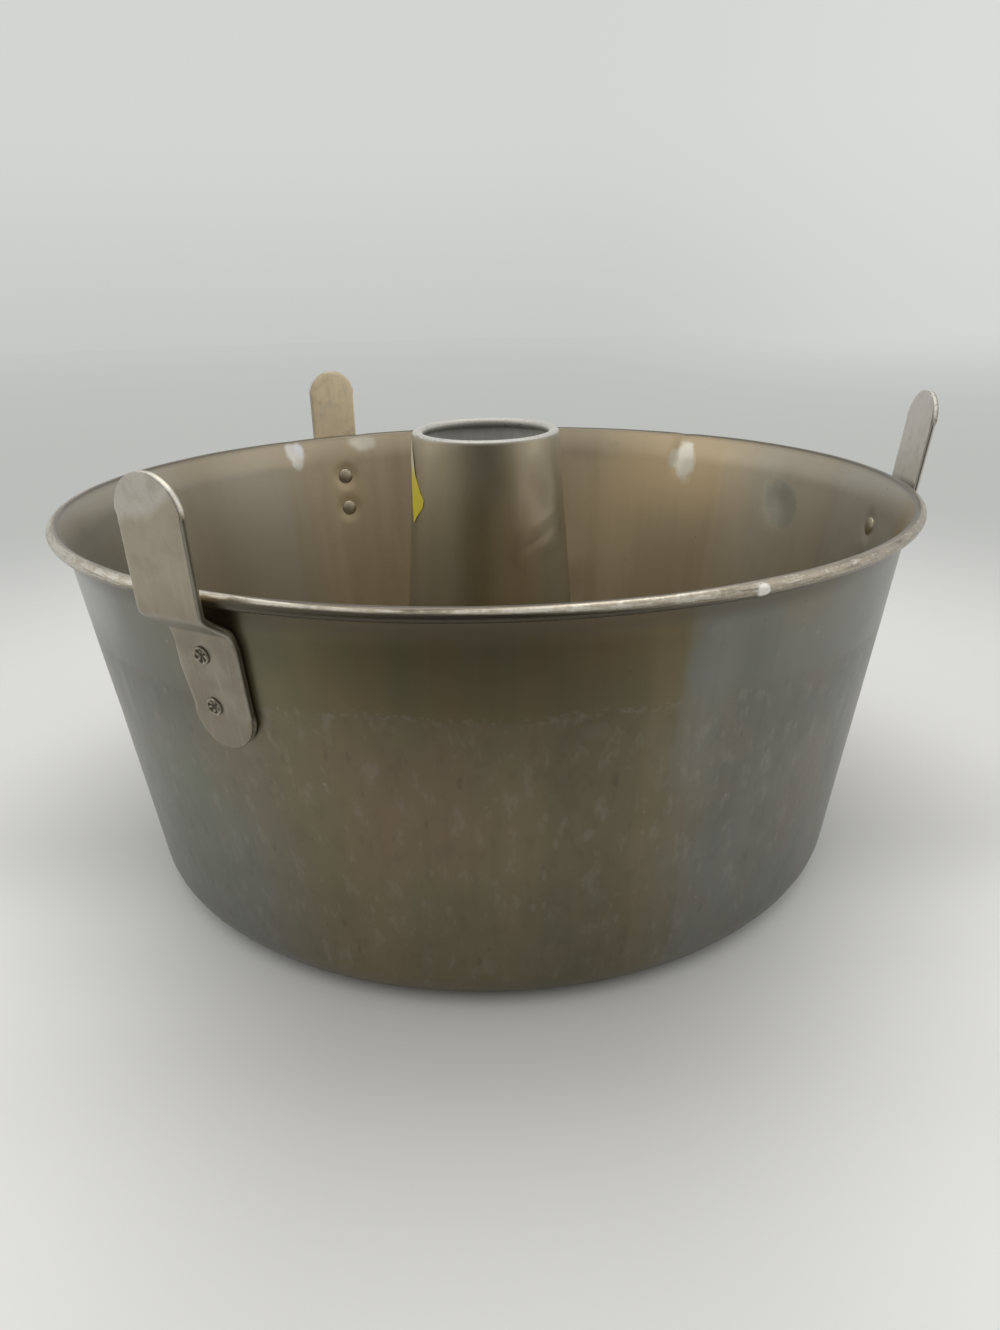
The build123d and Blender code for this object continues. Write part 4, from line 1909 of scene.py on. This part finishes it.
@dataclass
class Studio:
    """Pale floor, even light from the top, sides and back, and a dim front."""

    floor_radius: float = 3.0
    floor_sides: int = 96
    floor_level: float = -0.00002
    backdrop_low: Colour = (0.555, 0.565, 0.55)
    backdrop_high: Colour = (0.655, 0.665, 0.655)
    backdrop_right: Colour = (0.76, 0.77, 0.76)
    side_light: float = 0.72
    top_light: float = 0.85
    back_light: float = 0.68
    front_light: float = 0.06
    floor: StudioFloor = StudioFloor("studio_paper")

    def build(self) -> None:
        """Lay the floor, set the world and hang the lamps."""
        self.lay_floor()
        self.set_world()
        self.hang_lamp("ceiling_lamp", (0.0, 0.12, 0.80), (0.70, 0.45), (0.0, 0.0, 0.05), 2.4)
        self.hang_lamp("left_lamp", (-0.75, -0.05, 0.45), (0.50, 0.70), (0.0, 0.0, 0.06), 0.6)
        self.hang_lamp("right_lamp", (0.75, -0.05, 0.45), (0.50, 0.70), (0.0, 0.0, 0.06), 0.6)
        log.info("studio: floor, world and 3 lamps")

    def lay_floor(self) -> None:
        """Round sheet of paper under the pan, in rings so that its edge stays far off."""
        radii = np.array([0.02, 0.2, 0.5, 1.0, 2.0, self.floor_radius])
        sides, rings = self.floor_sides, len(radii)
        turn = np.linspace(0, math.tau, sides, endpoint=False)[:, None]
        level = np.broadcast_to(self.floor_level, (sides, rings))
        points = np.stack([radii * np.cos(turn), radii * np.sin(turn), level], -1).reshape(-1, 3)
        faces = [tuple(face) for face in ring_faces(sides, rings, False)]
        faces.append(tuple(range(0, sides * rings, rings)))
        make_piece("studio_floor", points, faces, self.floor)

    def set_world(self) -> None:
        """Light from all round but the front; the camera sees a plain pale backdrop."""
        world = bpy.data.worlds.new("studio_world")
        world.use_nodes = True
        bpy.context.scene.world = world
        graph = Graph(world.node_tree)
        way = graph.add("ShaderNodeTexCoord", output="Generated")
        east, north, up = (graph.add("ShaderNodeSeparateXYZ", {}, {0: way}, axis) for axis in "XYZ")
        forward = (north * -1.0).ramp(0.65, 0.97) * up.ramp(0.45, 0.15)
        sideways = abs(east).ramp(0.35, 0.85)
        level = self.back_light + (self.side_light - self.back_light) * sideways
        level = level + (self.top_light - level) * up.ramp(0.35, 0.85)
        level = level + (self.front_light - level) * forward
        light = graph.add("ShaderNodeBackground", {}, {"Color": (1.0, 0.995, 0.98), "Strength": level})
        tone = graph.mix(up.ramp(-0.12, 0.15), self.backdrop_low, self.backdrop_high)
        tone = graph.mix(east.ramp(0.05, 0.45) * 0.5, tone, self.backdrop_right)
        seen = graph.add("ShaderNodeBackground", {}, {"Color": tone, "Strength": 1.0})
        camera = graph.add("ShaderNodeLightPath", output="Is Camera Ray")
        shader = graph.add("ShaderNodeMixShader", {}, {0: camera, 1: light, 2: seen})
        graph.show("ShaderNodeOutputWorld", shader)

    def hang_lamp(self, name: str, place: Sequence[float], size: Point, target: Sequence[float],
                  power: float) -> None:
        """Hang a soft rectangular lamp.

        Args:
            name: Its name.
            place: Where it hangs.
            size: Its two sides.
            target: The point that it faces.
            power: Its power in watts.
        """
        data = bpy.data.lights.new(name, "AREA")
        data.shape = "RECTANGLE"
        data.size, data.size_y = size
        data.energy = power
        lamp = bpy.data.objects.new(name, data)
        bpy.context.scene.collection.objects.link(lamp)
        way = np.array(place) - np.array(target)
        lamp.matrix_world = look_along(tuple(-way), place)


def look_along(way: Sequence[float], place: Sequence[float]) -> Matrix:
    """Placement that looks along a way with its top up.

    Args:
        way: The direction to look.
        place: Where to stand.

    Returns:
        The matrix for a lamp or a camera.
    """
    ahead = np.array(way) / np.linalg.norm(way)
    across = np.cross(ahead, (0.0, 0.0, 1.0))
    if np.linalg.norm(across) < 1e-6:
        across = np.array((1.0, 0.0, 0.0))
    across = across / np.linalg.norm(across)
    upward = np.cross(across, ahead)
    turned = np.stack([across, upward, -ahead], 1)
    return Matrix.Translation(tuple(place)) @ Matrix(turned.tolist()).to_4x4()


@dataclass
class Viewpoint:
    """The camera, a phone's lens held close to the pan."""

    distance: float = 0.3186
    height: float = 0.1748
    azimuth: float = 1.0
    yaw: float = 0.5397
    pitch: float = 21.120
    roll: float = 1.1701
    focal_pixels: float = 1000.0
    picture_height: float = 1330.0
    sensor: float = 36.0

    def build(self) -> None:
        """Make the camera and use it."""
        yaw, pitch, roll = (math.radians(angle) for angle in (self.yaw, self.pitch, self.roll))
        level = math.cos(pitch)
        ahead = np.array([math.sin(yaw) * level, math.cos(yaw) * level, -math.sin(pitch)])
        across = np.array([math.cos(yaw), -math.sin(yaw), 0.0])
        down = np.cross(ahead, across)
        across, down = (math.cos(roll) * across + math.sin(roll) * down,
                        math.cos(roll) * down - math.sin(roll) * across)
        turned = Matrix(np.stack([across, -down, -ahead], 1).tolist()).to_4x4()
        data = bpy.data.cameras.new("camera")
        data.sensor_width = self.sensor
        data.lens = self.focal_pixels * self.sensor / self.picture_height
        data.clip_start = 0.01
        camera = bpy.data.objects.new("camera", data)
        bpy.context.scene.collection.objects.link(camera)
        stand = Matrix.Translation((0.0, -self.distance, self.height)) @ turned
        camera.matrix_world = Matrix.Rotation(math.radians(self.azimuth), 4, "Z") @ stand
        bpy.context.scene.camera = camera


@dataclass
class CakePan:
    """The whole pan."""

    legs: tuple[LegPlace, ...] = (
        # the right leg's strap has lighter narrow sides, painted light; the others keep painted shade there
        LegPlace("right", 0.0, 8.0, Strap("grey_strap", back=(0.56, 0.545, 0.495), side=(0.56, 0.54, 0.48))),
        LegPlace("back", 120.0, 1.0, Strap("tan_strap", back=(0.86, 0.73, 0.50))),
        LegPlace("front", 240.0, 4.0, Strap("satin_strap", cut=(0.60, 0.57, 0.50)), -1.0, 0.0016, 0.17))
    rivet_places: tuple[str, ...] = ("lower", "upper")
    pan: OuterPan = field(default_factory=OuterPan)

    def build(self) -> None:
        """Build every piece."""
        self.pan.build()
        bottom = LooseBottom(self.pan)
        tube = CentreTube(bottom)
        bottom.build(tube.seam_radius)
        tube.build()
        LabelScrap(tube).build()
        for index, place in enumerate(self.legs):
            leg = Leg(self.pan, place)
            leg.build()
            for step, (spot, height) in enumerate(zip(self.rivet_places, self.pan.rivet_heights)):
                Rivet(self.pan, leg, height, f"rivet_{place.name}_{spot}", 10 * index + step).build()


def main() -> None:
    """Build the pan, the studio and the camera."""
    bpy.context.scene.view_settings.view_transform = "Standard"
    Viewpoint().build()
    Studio().build()
    CakePan().build()


if __name__ == "__main__":
    logging.basicConfig(level=logging.INFO, format="%(name)s %(message)s")
    main()
